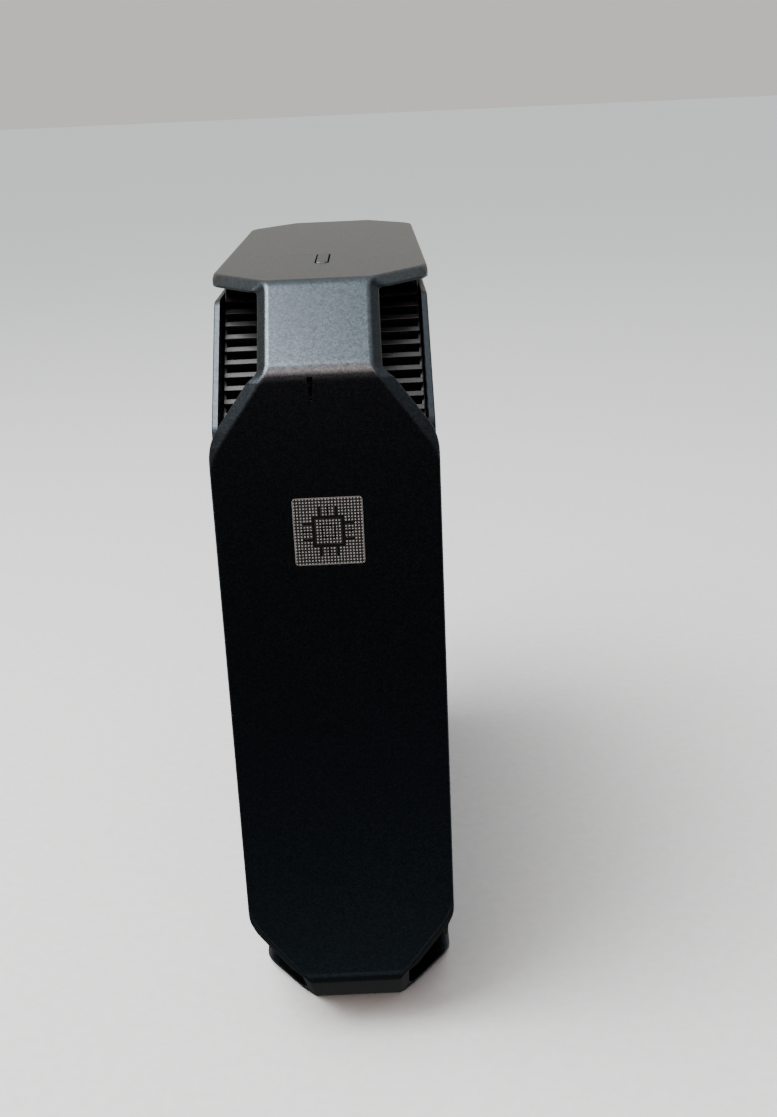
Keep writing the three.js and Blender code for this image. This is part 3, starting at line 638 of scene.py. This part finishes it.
# ---- Grilles -----------------------------------------------------------------------------------
class COMPUTER_OT_grilles(bpy.types.Operator):
    """Add the louvred grilles behind the four corner bridges"""

    bl_idname = "computer.grilles"
    bl_label = "Corner grilles"

    def execute(self, context):
        case = context.scene.computer_case
        plastic = moulded("grille_plastic", (0.016, 0.016, 0.018), 0.32, 1700, 0.03, gloss=0.62)
        # A grille's face is where the distances back and up from the middle add up to this.
        legs, inside = 167 * MM, 104.5 * MM
        front = legs * math.sqrt(0.5)
        half = (2 * inside - legs) * math.sqrt(0.5)
        reach = (case.louvres - 1) / 2 * case.louvre_pitch
        bar, wide, deep = case.louvre_bar / 2, 26.1 * MM, 6 * MM
        for corner, degrees in CORNERS.items():
            turn = math.radians(degrees)
            along = Matrix.Rotation(turn, 3, "X") @ Vector((0, 0, 1))
            blade = block(
                "blade", (-wide, front - deep, -reach - bar), (wide, front, -reach + bar),
                turn, MIDDLE,
            )
            soften(blade, 0.2 * MM, 3)
            repeated(blade, case.louvres, along * case.louvre_pitch)
            frame_parts = []
            for side in (-1, 1):
                low = (side * 25.5 * MM, front - deep, -half)
                high = (side * 26.3 * MM, front - 1.5 * MM, half)
                cheek = block("cheek", low, high, turn, MIDDLE)
                soften(cheek, 0.2 * MM, 2)
                frame_parts.append(cheek)
            # Two ribs behind the blades stop them from bending.
            for side in (-1, 1):
                low = (side * 8.1 * MM, front - deep, -half + MM)
                high = (side * 9.3 * MM, front - 4 * MM, half - MM)
                frame_parts.append(block("rib", low, high, turn, MIDDLE))
            weld(blade, *frame_parts)
            blade.name = blade.data.name = f"louvres_{corner}"
            finish(blade, "case", plastic, "black_plastic", f"grille_{corner}")
        return {"FINISHED"}


# ---- Covers ------------------------------------------------------------------------------------
def cover_panel(name, inner, outer):
    """A square panel with cut corners and rounded edges, between two distances across the case."""
    half, upper_reach, lower_reach = 101.8, 174.9, 171.6
    lean = 0.5
    panel = core_block(name, (inner, outer), (-half, half), (-half, half))

    def upper(edge):
        return runs_along(edge, 0) and edge.verts[0].co.z > MIDDLE.z

    def lower(edge):
        return runs_along(edge, 0) and edge.verts[0].co.z < MIDDLE.z

    # A reach is what the distances back and up from the middle add up to at a cut corner.
    round_edges(panel, upper, (2 * half - upper_reach) * MM, 1)
    round_edges(panel, lower, (2 * half - lower_reach) * MM, 1)
    round_edges(panel, upper, 1.7 * MM, 5)
    round_edges(panel, lower, 3.2 * MM, 6)
    # The sides lean in towards the outer face.
    face = at(outer, 0, 0)
    choose(panel, "VERT", lambda v: abs(v.co.x - face.x) < 1e-6)
    narrow = 1 - lean / half
    bpy.ops.transform.resize(value=(1, narrow, narrow), center_override=face)
    bpy.ops.object.mode_set(mode="OBJECT")
    round_edges(panel, lambda e: lies_at(e, 0, face.x), 0.4 * MM, 4)
    return panel


class COMPUTER_OT_covers(bpy.types.Operator):
    """Add the access cover and the base cover"""

    bl_idname = "computer.covers"
    bl_label = "Side covers"

    def execute(self, context):
        case = context.scene.computer_case
        paint = metallic_paint("cover_paint", tuple(c * 0.9 for c in case.paint), 0.42, 0.8)
        access = cover_panel("access_panel", 26.8, 28.4)
        weld(access, self.stiffening_rib(), *self.hooks(), *self.catch())
        finish(access, "access_cover", paint, "cover_plastic", "access_cover")

        base = cover_panel("base_panel", -26.8, -28.4)
        for back, height in ((-84, 52), (84, 52), (84, -52), (-84, -52)):
            place = at(-28.4, back, height)
            carve(base, drum("sink", place, 3.2 * MM, 2 * MM))
            carve(base, drum("hole", place, 1.7 * MM, 6 * MM))
        for back, height in ((-66, 66), (66, 66), (66, -66), (-66, -66)):
            ring = drum("ring", at(-28.5, back, height), 9.2 * MM, 0.9 * MM, sides=48)
            carve(base, ring)
        finish(base, "case", paint, "cover_plastic", "base_cover", angle=30)
        return {"FINISHED"}

    def hooks(self):
        """Two hooks that reach under the front lip, each a root and a tip."""
        return [
            core_block("hook", across, back, (height - 7, height + 7), 0.2)
            for height in (-45, 45)
            for back, across in (((-101.4, -99.4), (25, 27)), ((-104.2, -99.4), (24.8, 25.8)))
        ]

    def catch(self):
        """The catch that the release latch holds, as a root and a tip."""
        return [
            core_block("catch", across, back, (-22, -15), 0.25)
            for back, across in (((97.4, 99), (17.5, 27)), ((97.4, 101.8), (17.5, 19)))
        ]

    def stiffening_rib(self):
        """The rib that runs round the inside of the cover."""
        outside, inside = (-78, 78), (-76.4, 76.4)
        rib = core_block("rib", (25.2, 27), outside, outside)
        round_edges(rib, lambda e: runs_along(e, 0), 24 * MM, 1)
        hollow = core_block("hollow", (24, 28), inside, inside)
        round_edges(hollow, lambda e: runs_along(e, 0), 23 * MM, 1)
        carve(rib, hollow)
        return rib


def at_each(first, kind, node, body, material, slot):
    """Copies a piece made for the first of four like nodes to the others, and finishes all."""
    start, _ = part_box(f"{node}_1")
    for i in range(2, 5):
        place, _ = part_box(f"{node}_{i}")
        finish(copied(first, f"{kind}_{i}", place - start), body, material, slot, f"{node}_{i}")
    finish(first, body, material, slot, f"{node}_1")


class COMPUTER_OT_feet(bpy.types.Operator):
    """Add the rubber feet of the base cover"""

    bl_idname = "computer.feet"
    bl_label = "Rubber feet"

    def execute(self, context):
        rubber = moulded("foot_rubber", (0.014, 0.014, 0.014), 0.7, 1500, 0.4, dust=0.02)
        low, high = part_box("foot_1")
        radius, tall = (high.z - low.z) / 2, high.x - low.x
        foot = drum("rubber_foot_1", (low + high) / 2, radius, tall, sides=56)
        choose(foot, "FACE", lambda f: f.normal.x < -0.9)
        for border, rise in ((2.2, 0.35), (1.1, -0.2)):
            bpy.ops.mesh.inset(thickness=border * MM)
            bpy.ops.transform.translate(value=(rise * MM, 0, 0))
        bpy.ops.object.mode_set(mode="OBJECT")
        round_edges(foot, lambda e: on_rim(e, 0, low.x), 0.4 * MM, 3)
        at_each(foot, "rubber_foot", "foot", "case", rubber, "rubber")
        return {"FINISHED"}


class COMPUTER_OT_screws(bpy.types.Operator):
    """Add the screws of the base cover"""

    bl_idname = "computer.screws"
    bl_label = "Cover screws"

    def execute(self, context):
        steel = bare_metal("screw_steel", (0.32, 0.32, 0.33), 0.32, (1, 1, 1), 700)
        low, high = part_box("cover_screw_1")
        centre = (low + high) / 2
        y, z = centre.y, centre.z
        thick = 0.66 * MM
        head = drum("screw_1", (low.x + 0.34 * MM, y, z), 2.8 * MM, thick, sides=36)
        round_edges(head, lambda e: on_rim(e, 0, low.x, slack=2e-5), 0.25 * MM, 3)
        long = high.x - low.x - MM
        shank = drum("shank", (centre.x + 0.4 * MM, y, z), 1.35 * MM, long, sides=20)
        weld(head, shank)
        # A six-lobed recess.
        carve(head, drum("recess", (low.x, y, z), 1.25 * MM, 0.9 * MM, sides=6))
        for k in range(3):
            low_corner = (low.x - 0.2 * MM, -0.3 * MM, -1.5 * MM)
            high_corner = (low.x + 0.45 * MM, 0.3 * MM, 1.5 * MM)
            carve(head, block("lobe", low_corner, high_corner, k * math.pi / 3, Vector((0, y, z))))
        at_each(head, "screw", "cover_screw", "case", steel, "plated_steel")
        return {"FINISHED"}


# ---- Front and top details ---------------------------------------------------------------------
class COMPUTER_OT_power_key(bpy.types.Operator):
    """Add the power key in the top face"""

    bl_idname = "computer.power_key"
    bl_label = "Power key"

    def execute(self, context):
        case = context.scene.computer_case
        paint = metallic_paint("key_paint", tuple(c * 1.05 for c in case.paint), 0.33, 0.7)
        low, high = core_box("power_button")
        middle = (low.y + high.y) / 2
        cap = core_block("power_key", (-1.6, 1.6), (low.y + 2, high.y - 2), (104.2, high.z))
        top = at(0, 0, high.z).z
        round_edges(cap, lambda e: runs_along(e, 2), 0.7 * MM, 5)
        round_edges(cap, lambda e: lies_at(e, 2, top), 0.4 * MM, 4)
        flange = core_block("flange", (-3.6, 3.6), (low.y, high.y), (103.2, 104.4), 0.2)
        stem = core_block("stem", (-1.5, 1.5), (middle - 1.5, middle + 1.5), (low.z, 103.5), 0.2)
        weld(cap, flange, stem)
        finish(cap, "power_button", paint, "dark_metallic_paint", "power_button")
        return {"FINISHED"}


class COMPUTER_OT_front_details(bpy.types.Operator):
    """Add the badge and the activity light of the front face"""

    bl_idname = "computer.front_details"
    bl_label = "Badge and light"

    def execute(self, context):
        low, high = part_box("badge")
        face = low.y + 0.06 * MM
        badge = block("badge_plate", (low.x, face, low.z), high)
        round_edges(badge, lambda e: runs_along(e, 1), 1.0 * MM, 6)
        round_edges(badge, lambda e: lies_at(e, 1, face), 0.12 * MM, 2)
        finish(badge, "case", badge_metal(low, high), "badge_metal", "badge")
        lens = light_wedge("light_lens", -0.15, -HALF + 2.2, -HALF + 6)
        soften(lens, 0.08 * MM)
        s = Shader("smoked_lens", Base_Color=(0.006, 0.006, 0.008))
        s.to("Roughness", s.spread(s.noise(900, 2), 0.08, 0.18))
        finish(lens, "case", s.material, "smoked_lens", "activity_light")
        return {"FINISHED"}


def badge_metal(low, high):
    """Dark film with a fine grid of metal dots and a plain chip outline, with no lettering."""
    s = Shader("badge_metal", Metallic=0.7)
    centre = (low + high) / 2
    half = (high.z - low.z) / 2
    parts = s.node("ShaderNodeSeparateXYZ", {"Vector": s.place})
    calc = s.calc

    def unit(axis, middle):
        return calc("DIVIDE", calc("SUBTRACT", parts.outputs[axis], middle), half)

    def line(value, place, wide):
        return calc("LESS_THAN", calc("ABSOLUTE", calc("SUBTRACT", value, place)), wide / 2)

    # Distances are in shares of half the badge's side, from its middle.
    u, v = unit("X", centre.x), unit("Z", centre.z)
    pitch, dot_radius = 2 / 22, 0.26
    phases = []
    for place in (u, v):
        phase = calc("FRACT", calc("DIVIDE", calc("ADD", place, 2.0), pitch))
        phases.append(calc("POWER", calc("ABSOLUTE", calc("SUBTRACT", phase, 0.5)), 2.0))
    dot = calc("LESS_THAN", calc("ADD", *phases), dot_radius**2)
    across, height = calc("ABSOLUTE", u), calc("ABSOLUTE", v)
    box = calc("MAXIMUM", across, height)
    # The chip's body, its die and the comb of legs on each side.
    strokes = [line(box, 0.42, 0.075), line(box, 0.18, 0.06)]
    for a, b in ((across, height), (height, across)):
        reach = line(a, 0.60, 0.28)
        comb = calc("ABSOLUTE", calc("SUBTRACT", calc("FRACT", calc("DIVIDE", b, 0.24)), 0.5))
        row = calc("MULTIPLY", calc("GREATER_THAN", comb, 0.36), calc("LESS_THAN", b, 0.33))
        strokes.append(calc("MULTIPLY", reach, row))
    sign = strokes[0]
    for stroke in strokes[1:]:
        sign = calc("MAXIMUM", sign, stroke)
    film = s.mix(s.spread(s.noise(120, 4), 0.0, 1.0), (0.030, 0.029, 0.028), (0.045, 0.043, 0.040))
    grid = s.mix(dot, film, (0.62, 0.60, 0.58))
    edged = s.mix(calc("GREATER_THAN", box, 0.965), grid, (0.30, 0.29, 0.28))
    s.to("Base Color", s.mix(sign, edged, (0.012, 0.012, 0.012)))
    s.to("Roughness", s.spread(s.noise(800, 3), 0.36, 0.48))
    s.bump(dot, 0.25, 0.00004)
    return s.material


# ---- Release latch -----------------------------------------------------------------------------
class COMPUTER_OT_latch(bpy.types.Operator):
    """Add the release latch"""

    bl_idname = "computer.latch"
    bl_label = "Release latch"

    def execute(self, context):
        plastic = moulded("latch_plastic", (0.02, 0.02, 0.021), 0.45, 1500, 0.3)
        slide, *others = (
            core_block("latch", across, back, height, 0.25)
            for across, back, height in (
                ((11.5, 22.5), (102.9, 104.7), (-14, 15)),
                ((14.2, 19.8), (104.2, 107.2), (-5, 5)),
                ((19.4, 22.5), (99.4, 103.4), (-22, -15.5)),
                ((16, 22.5), (102.9, 103.4), (-22, -13.5)),
            )
        )
        ridge = core_block("ridge", (14.6, 19.4), (106.9, 107.75), (-4.3, -3.5), 0.25, 3)
        repeated(ridge, 6, (0, 0, 1.56 * MM))
        latch = weld(slide, *others, ridge)
        latch.name = latch.data.name = "latch_slide"
        finish(latch, "release_latch", plastic, "black_plastic", "release_latch")
        self.spring()
        return {"FINISHED"}

    def spring(self):
        """The coil over the latch's arm. On the real latch it is squeezed as the latch slides up;
        this coil keeps its length.
        """
        low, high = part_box("latch_spring")
        centre = (low + high) / 2
        wire, turns = 0.35 * MM, 9
        radius = (high.y - low.y) / 2 - wire
        nothing_selected()
        bpy.ops.mesh.primitive_circle_add(
            vertices=12, radius=wire, location=(radius, 0, low.z + wire),
            rotation=(math.pi / 2, 0, 0),
        )
        coil = named("latch_coil")
        pitch = (high.z - low.z - 2 * wire) / turns
        modifier(coil, "SCREW", screw_offset=pitch, iterations=turns, steps=20, render_steps=20)
        choose(coil, "VERT", lambda v: True)
        bpy.ops.mesh.remove_doubles(threshold=1e-6)
        bpy.ops.mesh.fill_holes(sides=0)
        bpy.ops.mesh.normals_make_consistent(inside=False)
        bpy.ops.transform.translate(value=(centre.x, centre.y, 0))
        bpy.ops.object.mode_set(mode="OBJECT")
        steel = bare_metal("spring_wire", (0.42, 0.43, 0.44), 0.3, (1, 1, 30), 420)
        finish(coil, "case", steel, "plated_steel", "latch_spring")
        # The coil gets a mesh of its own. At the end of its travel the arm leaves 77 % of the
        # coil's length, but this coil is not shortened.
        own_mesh(coil)


# ---- The rear sockets --------------------------------------------------------------------------
SOCKET_TONGUES = {
    # node: half width, half thickness, and the distances of the tongues from the board's side
    "usb_stack_1": (5.75, 1.05, (4.9, 12.5)),
    "usb_stack_2": (5.75, 1.05, (4.9, 12.5)),
    "display_socket_1": (6.45, 0.75, (3.9,)),
    "display_socket_2": (6.45, 0.75, (3.9,)),
    "usb_c_stack": (3.5, 0.47, (2.1, 7.3)),
}


class COMPUTER_OT_sockets(bpy.types.Operator):
    """Finish the rear sockets: shells, tongues, contacts and the plate round them"""

    bl_idname = "computer.sockets"
    bl_label = "Rear sockets"

    def execute(self, context):
        shell = bare_metal("socket_shell", (0.62, 0.62, 0.61), 0.26, (1, 30, 1), 600)
        plate = bare_metal("socket_plate_steel", (0.30, 0.30, 0.31), 0.38, (1, 1, 24), 500)
        black = moulded("socket_plastic", (0.018, 0.018, 0.018), 0.5, 1400, 0.2)
        gold = bare_metal("contact_gold", (0.83, 0.60, 0.24), 0.22, (1, 1, 1), 900)
        for node in ("power_inlet", "network_socket", *SOCKET_TONGUES):
            repaint(node, shell)
        repaint("audio_socket", black)
        repaint("socket_plate", plate)
        for node, tongue in SOCKET_TONGUES.items():
            self.tongues(node, *tongue, black, gold)
        self.network_parts(black, gold)
        self.inlet_parts(black, gold)
        return {"FINISHED"}

    def tongues(self, node, wide, thick, lifts, plastic, metal):
        """The tongues of a socket, each with nine contacts across it."""
        low, high = core_box(node)
        z, mouth = (low.z + high.z) / 2, high.y - 1.3
        first, pin, pitch, proud = -0.86 * wide, 0.07 * wide, 0.205 * wide, 0.1
        for i, lift in enumerate(lifts, 1):
            x = low.x + lift
            across = (x - thick - proud, x + thick + proud)
            pins = core_block(
                f"{node}_contacts_{i}", across, (mouth - 5, mouth - 0.4),
                (z + first, z + first + pin), 0.03, 1,
            )
            repeated(pins, 9, (0, 0, pitch * MM))
            tongue = core_block(
                f"{node}_tongue_{i}", (x - thick, x + thick), (mouth - 6, mouth),
                (z - wide, z + wide), 0.12,
            )
            finish(tongue, "case", plastic, "black_plastic")
            finish(pins, "case", metal, "plated_steel")

    def network_parts(self, plastic, metal):
        """The network socket's plastic insert with its eight sprung contacts."""
        low, high = core_box("network_socket")
        x, y, z = low.x + 7, high.y, (low.z + high.z) / 2
        insert = core_block(
            "network_insert", (x - 4.18, x + 4.18), (y - 12.9, y - 0.5), (z - 5.97, z + 5.97)
        )
        inside = core_block(
            "inside", (x - 3.75, x + 3.75), (y - 12, y + 1), (z - 5.5, z + 5.5)
        )
        carve(insert, inside)
        finish(insert, "case", plastic, "black_plastic")
        wires = core_block(
            "network_contacts", (x - 3.4, x - 3.0), (y - 11, y - 2), (z - 3.75, z - 3.3)
        )
        repeated(wires, 8, (0, 0, 1.02 * MM))
        finish(wires, "case", metal, "plated_steel")

    def inlet_parts(self, plastic, metal):
        """The power inlet's middle pin and its plastic liner."""
        low, high = core_box("power_inlet")
        x, y, z = (low.x + high.x) / 2, high.y, (low.z + high.z) / 2
        pin = drum("inlet_pin", at(x, y - 6, z), 0.5 * MM, 7.6 * MM, "Y", 16)
        soften(pin, 0.2 * MM)
        finish(pin, "case", metal, "plated_steel")
        liner = drum("inlet_liner", at(x, y - 5, z), 3.75 * MM, 9.8 * MM, "Y", 40)
        carve(liner, drum("bore", at(x, y - 4, z), 3.0 * MM, 9.8 * MM, "Y", 40))
        finish(liner, "case", plastic, "black_plastic")


def repaint(node, material):
    piece = NODES[node]
    piece.data.materials.clear()
    piece.data.materials.append(material)


# ---- Inside ------------------------------------------------------------------------------------
class COMPUTER_OT_inside(bpy.types.Operator):
    """Finish the pieces inside the case and populate the boards"""

    bl_idname = "computer.inside"
    bl_label = "Inside"

    def execute(self, context):
        dark_board = circuit_board("board_black", (0.010, 0.016, 0.014))
        foil = moulded("antenna_film", (0.03, 0.028, 0.02), 0.35, 900, 0.1)
        tray = bare_metal("tray_steel", (0.42, 0.43, 0.44), 0.36, (1, 1, 30), 420)
        bridge = bare_metal("bridge_steel", (0.34, 0.35, 0.36), 0.33, (1, 30, 1), 420)
        fins = bare_metal("fin_aluminium", (0.66, 0.67, 0.68), 0.3, (1, 26, 1), 700)
        drive = bare_metal("drive_aluminium", (0.52, 0.53, 0.54), 0.4, (1, 1, 18), 600)
        copper = bare_metal("pipe_copper", (0.70, 0.35, 0.20), 0.26, (1, 1, 1), 380)
        nickel = bare_metal("lid_nickel", (0.60, 0.60, 0.58), 0.24, (1, 14, 14), 500)
        cell = bare_metal("cell_steel", (0.66, 0.66, 0.64), 0.22, (1, 16, 16), 500)
        blower = moulded("blower_plastic", (0.020, 0.020, 0.021), 0.5, 1200, 0.25)
        wheel = moulded("wheel_plastic", (0.032, 0.032, 0.034), 0.42, 1200, 0.2)
        socket = moulded("memory_socket_plastic", (0.024, 0.024, 0.026), 0.46, 1500, 0.2)
        sheath = moulded("lead_sheath", (0.02, 0.02, 0.02), 0.5, 2000, 0.2)
        finishes = (
            (tray, "inner_tray", "drive_cage", "processor_socket"),
            (bridge, "blower_bridge"),
            (fins, "processor_heat_sink", "graphics_heat_sink"),
            (drive, "storage_drive"),
            (copper, "processor_heat_pipe", "graphics_heat_pipe"),
            (nickel, "processor"),
            (circuit_board("board_green", (0.012, 0.075, 0.045)), "mainboard"),
            (dark_board, "memory_module_1", "memory_module_2", "solid_state_drive"),
            (dark_board, "radio_card", "graphics_card", "power_switch"),
            (blower, "blower_case_top", "blower_case_base", "speaker"),
            (wheel, "blower_wheel_top", "blower_wheel_base"),
            (socket, "memory_socket_1", "memory_socket_2", "graphics_connector"),
            (cell, "clock_cell"),
            (foil, "antenna_top", "antenna_front"),
            (sheath, "antenna_lead_top", "antenna_lead_front"),
        )
        for material, *nodes in finishes:
            for node in nodes:
                repaint(node, material)
        chips()
        capacitors()
        return {"FINISHED"}


BOARD_FACE = -13  # across the case, the side of the main board that carries its parts


def chips():
    """Small surface-mounted parts on the free stretches of the main board."""
    random.seed(11)
    made = []
    # Each stretch: its reach back, its reach up and the number of parts on it.
    stretches = (
        ((-76, 84), (-6, 78), 3), ((-34, 0), (-76, -45), 26), ((-2, 8), (-30, 10), 20),
        ((10, 66), (78, 79), 10),
    )
    sizes = ((0.8, 0.4, 0.35), (1.6, 0.8, 0.5), (3, 3, 0.8), (4, 5, 1))
    for back, height, count in stretches:
        for _ in range(count):
            y, z = random.uniform(*back), random.uniform(*height)
            wide, tall, rise = random.choice(sizes)
            part = core_block(
                "chip", (BOARD_FACE + 0.02, BOARD_FACE + rise), (y - wide / 2, y + wide / 2),
                (z - tall / 2, z + tall / 2), 0.06, 1,
            )
            made.append(part)
    parts = weld(*made)
    parts.name = parts.data.name = "board_chips"
    resin = moulded("chip_resin", (0.028, 0.028, 0.03), 0.4, 900, 0.15)
    finish(parts, "case", resin, "chip_plastic")


def capacitors():
    """Polymer capacitors beside the voltage regulators."""
    tall = 5.2
    centre = at(BOARD_FACE + tall / 2, -3, 17)
    can = drum("capacitor_cans", centre, 2.1 * MM, tall * MM, sides=28)
    top = centre.x + tall / 2 * MM
    choose(can, "FACE", lambda f: f.normal.x > 0.9)
    bpy.ops.mesh.inset(thickness=0.5 * MM)
    bpy.ops.transform.translate(value=(-0.15 * MM, 0, 0))
    bpy.ops.object.mode_set(mode="OBJECT")
    round_edges(can, lambda e: on_rim(e, 0, top), 0.3 * MM, 3)
    repeated(can, 7, (0, 0, 8 * MM))
    tin = bare_metal("can_aluminium", (0.72, 0.72, 0.73), 0.25, (1, 1, 1), 500)
    finish(can, "case", tin, "bare_aluminium")


# ---- Stage -------------------------------------------------------------------------------------
class COMPUTER_OT_stage(bpy.types.Operator):
    """Add the floor, the lights and the camera"""

    bl_idname = "computer.stage"
    bl_label = "Stage"

    def execute(self, context):
        stage = context.scene.computer_stage
        nothing_selected()
        bpy.ops.mesh.primitive_plane_add(size=80, location=(0, 0, -0.2 * MM))
        floor = named("studio_floor")
        s = Shader("floor_foam", Roughness=0.85)
        s.to(
            "Base Color",
            s.shade(tuple(stage.floor_colour), s.spread(s.noise(260, 4), 0.0, 1.0), 0.96, 1.03),
        )
        s.bump(s.noise(420, 4), 0.25, 0.0004)
        floor.data.materials.append(s.material)
        floor.visible_glossy = False
        self.room(context.scene)
        above, low = stage.overhead_power, stage.front_power
        self.lamp("overhead", (-0.54, -0.33, 1.15), (0, -0.1, 0.15), (0.95, 0.8), above)
        front = self.lamp("front", (0, -1.55, 1.35), (0, -0.1, 0.18), (1.3, 0.62), low)
        front.color = (1.0, 0.70, 0.61)
        fill, lamp = self.light("fill", "SUN", (-1.2, -0.6, 2), (0, 0, 0), stage.fill_strength)
        fill.angle = math.radians(70)
        lamp.visible_glossy = False
        self.camera(context.scene, stage)
        return {"FINISHED"}

    def camera(self, scene, stage):
        """The camera: where it stands, and how it is turned sideways, down and on its side."""
        data = bpy.data.cameras.new("view")
        data.lens, data.sensor_width = stage.lens, 36
        data.clip_start, data.clip_end = 0.01, 100
        seen = bpy.data.objects.new("view", data)
        scene.collection.objects.link(seen)
        place = Vector((MIDDLE.x + 14.02 * MM, -431.36 * MM, 257.3 * MM))
        yaw, pitch, roll = 0.00266, 0.32874, -0.04459
        level = Vector((math.sin(yaw), math.cos(yaw), 0))
        ahead = level * math.cos(pitch) - Vector((0, 0, math.sin(pitch)))
        right = Vector((math.cos(yaw), -math.sin(yaw), 0))
        above = right.cross(ahead)
        tilted = right * math.cos(roll) + above * math.sin(roll)
        over = above * math.cos(roll) - right * math.sin(roll)
        turn = Matrix((tilted, over, -ahead)).transposed().to_4x4()
        seen.matrix_world = Matrix.Translation(place) @ turn
        scene.camera = seen

    def room(self, scene):
        """What the computer mirrors: a pale wall behind it, pale sides and a dark front."""
        world = bpy.data.worlds.new("studio")
        scene.world = world
        world.use_nodes = True
        nodes = Nodes(world.node_tree)
        sky = nodes.tree.nodes["Background"]
        place = nodes.node("ShaderNodeTexCoord").outputs["Generated"]
        parts = nodes.node("ShaderNodeSeparateXYZ", {"Vector": place}).outputs

        def ramp(*stops):
            """Colours from straight down, at -1, to straight up, at 1."""
            height = nodes.spread(parts["Z"], 0, 1, -1, 1)
            made = nodes.node("ShaderNodeValToRGB", {"Fac": height})
            line = made.color_ramp.elements
            for element, (height, colour) in zip(line, (stops[0], stops[-1])):
                element.position, element.color = (height + 1) / 2, (*colour, 1)
            for height, colour in stops[1:-1]:
                line.new((height + 1) / 2).color = (*colour, 1)
            return made.outputs["Color"]

        behind = ramp(
            (-1.0, (0.03, 0.03, 0.03)), (-0.65, (0.05, 0.05, 0.05)), (-0.45, (0.26, 0.26, 0.25)),
            (0.0, (0.50, 0.48, 0.45)), (0.2, (0.33, 0.315, 0.285)), (0.5, (0.29, 0.275, 0.25)),
            (0.7, (0.52, 0.55, 0.57)), (1.0, (0.80, 0.87, 0.90)),
        )
        sides = ramp(
            (-1.0, (0.03, 0.03, 0.03)), (-0.65, (0.04, 0.04, 0.04)), (-0.45, (0.23, 0.24, 0.25)),
            (-0.1, (0.21, 0.22, 0.23)), (0.05, (0.05, 0.055, 0.06)), (0.5, (0.08, 0.085, 0.09)),
            (0.75, (0.50, 0.53, 0.55)), (1.0, (0.80, 0.87, 0.90)),
        )
        ahead = ramp(
            (-1.0, (0.03, 0.03, 0.03)), (-0.88, (0.04, 0.04, 0.04)), (-0.76, (0.16, 0.19, 0.22)),
            (-0.69, (0.17, 0.21, 0.24)), (-0.58, (0.004, 0.005, 0.006)),
            (-0.30, (0.002, 0.002, 0.002)), (-0.15, (0.016, 0.012, 0.012)),
            (0.0, (0.040, 0.030, 0.029)), (0.16, (0.07, 0.065, 0.064)), (0.5, (0.12, 0.12, 0.12)),
            (0.75, (0.40, 0.42, 0.44)), (1.0, (0.80, 0.87, 0.90)),
        )
        around = nodes.mix(nodes.spread(parts["Y"], 0, 1, -0.55, -0.25), ahead, sides)
        around = nodes.mix(nodes.spread(parts["Y"], 0, 1, 0.2, 0.75), around, behind)
        # Seen directly, the room is one plain pale wall.
        seen = nodes.node("ShaderNodeLightPath").outputs["Is Camera Ray"]
        nodes.feed(sky, {"Color": nodes.mix(seen, around, (0.48, 0.47, 0.455))})
        sky.inputs["Strength"].default_value = 1.4

    def light(self, name, kind, place, target, power):
        data = bpy.data.lights.new(name, kind)
        data.energy = power
        lamp = bpy.data.objects.new(name, data)
        bpy.context.scene.collection.objects.link(lamp)
        lamp.location = place
        lamp.rotation_euler = (Vector(target) - Vector(place)).to_track_quat("-Z", "Y").to_euler()
        return data, lamp

    def lamp(self, name, place, target, size, power):
        """A soft rectangular lamp."""
        data, _ = self.light(name, "AREA", place, target, power)
        data.shape = "RECTANGLE"
        data.size, data.size_y = size
        return data


class COMPUTER_PT_panel(bpy.types.Panel):
    """Steps of the build"""

    bl_label = "Desktop computer"
    bl_idname = "COMPUTER_PT_panel"
    bl_space_type = "VIEW_3D"
    bl_region_type = "UI"
    bl_category = "Desktop computer"

    def draw(self, context):
        for settings in (context.scene.computer_case, context.scene.computer_stage):
            for name in settings.__annotations__:
                self.layout.prop(settings, name)
        for step in STEPS:
            self.layout.operator(step.bl_idname)


STEPS = (
    COMPUTER_OT_stage,
    COMPUTER_OT_band,
    COMPUTER_OT_grilles,
    COMPUTER_OT_covers,
    COMPUTER_OT_feet,
    COMPUTER_OT_screws,
    COMPUTER_OT_power_key,
    COMPUTER_OT_front_details,
    COMPUTER_OT_latch,
    COMPUTER_OT_sockets,
    COMPUTER_OT_inside,
)
CLASSES = (CaseSettings, StageSettings, *STEPS, COMPUTER_PT_panel)


def register():
    for item in CLASSES:
        bpy.utils.register_class(item)
    bpy.types.Scene.computer_case = bpy.props.PointerProperty(type=CaseSettings)
    bpy.types.Scene.computer_stage = bpy.props.PointerProperty(type=StageSettings)


def unregister():
    del bpy.types.Scene.computer_stage
    del bpy.types.Scene.computer_case
    for item in reversed(CLASSES):
        bpy.utils.unregister_class(item)


def main():
    register()
    for step in STEPS:
        group, name = step.bl_idname.split(".")
        getattr(getattr(bpy.ops, group), name)()
    nothing_selected()


if __name__ == "__main__":
    main()
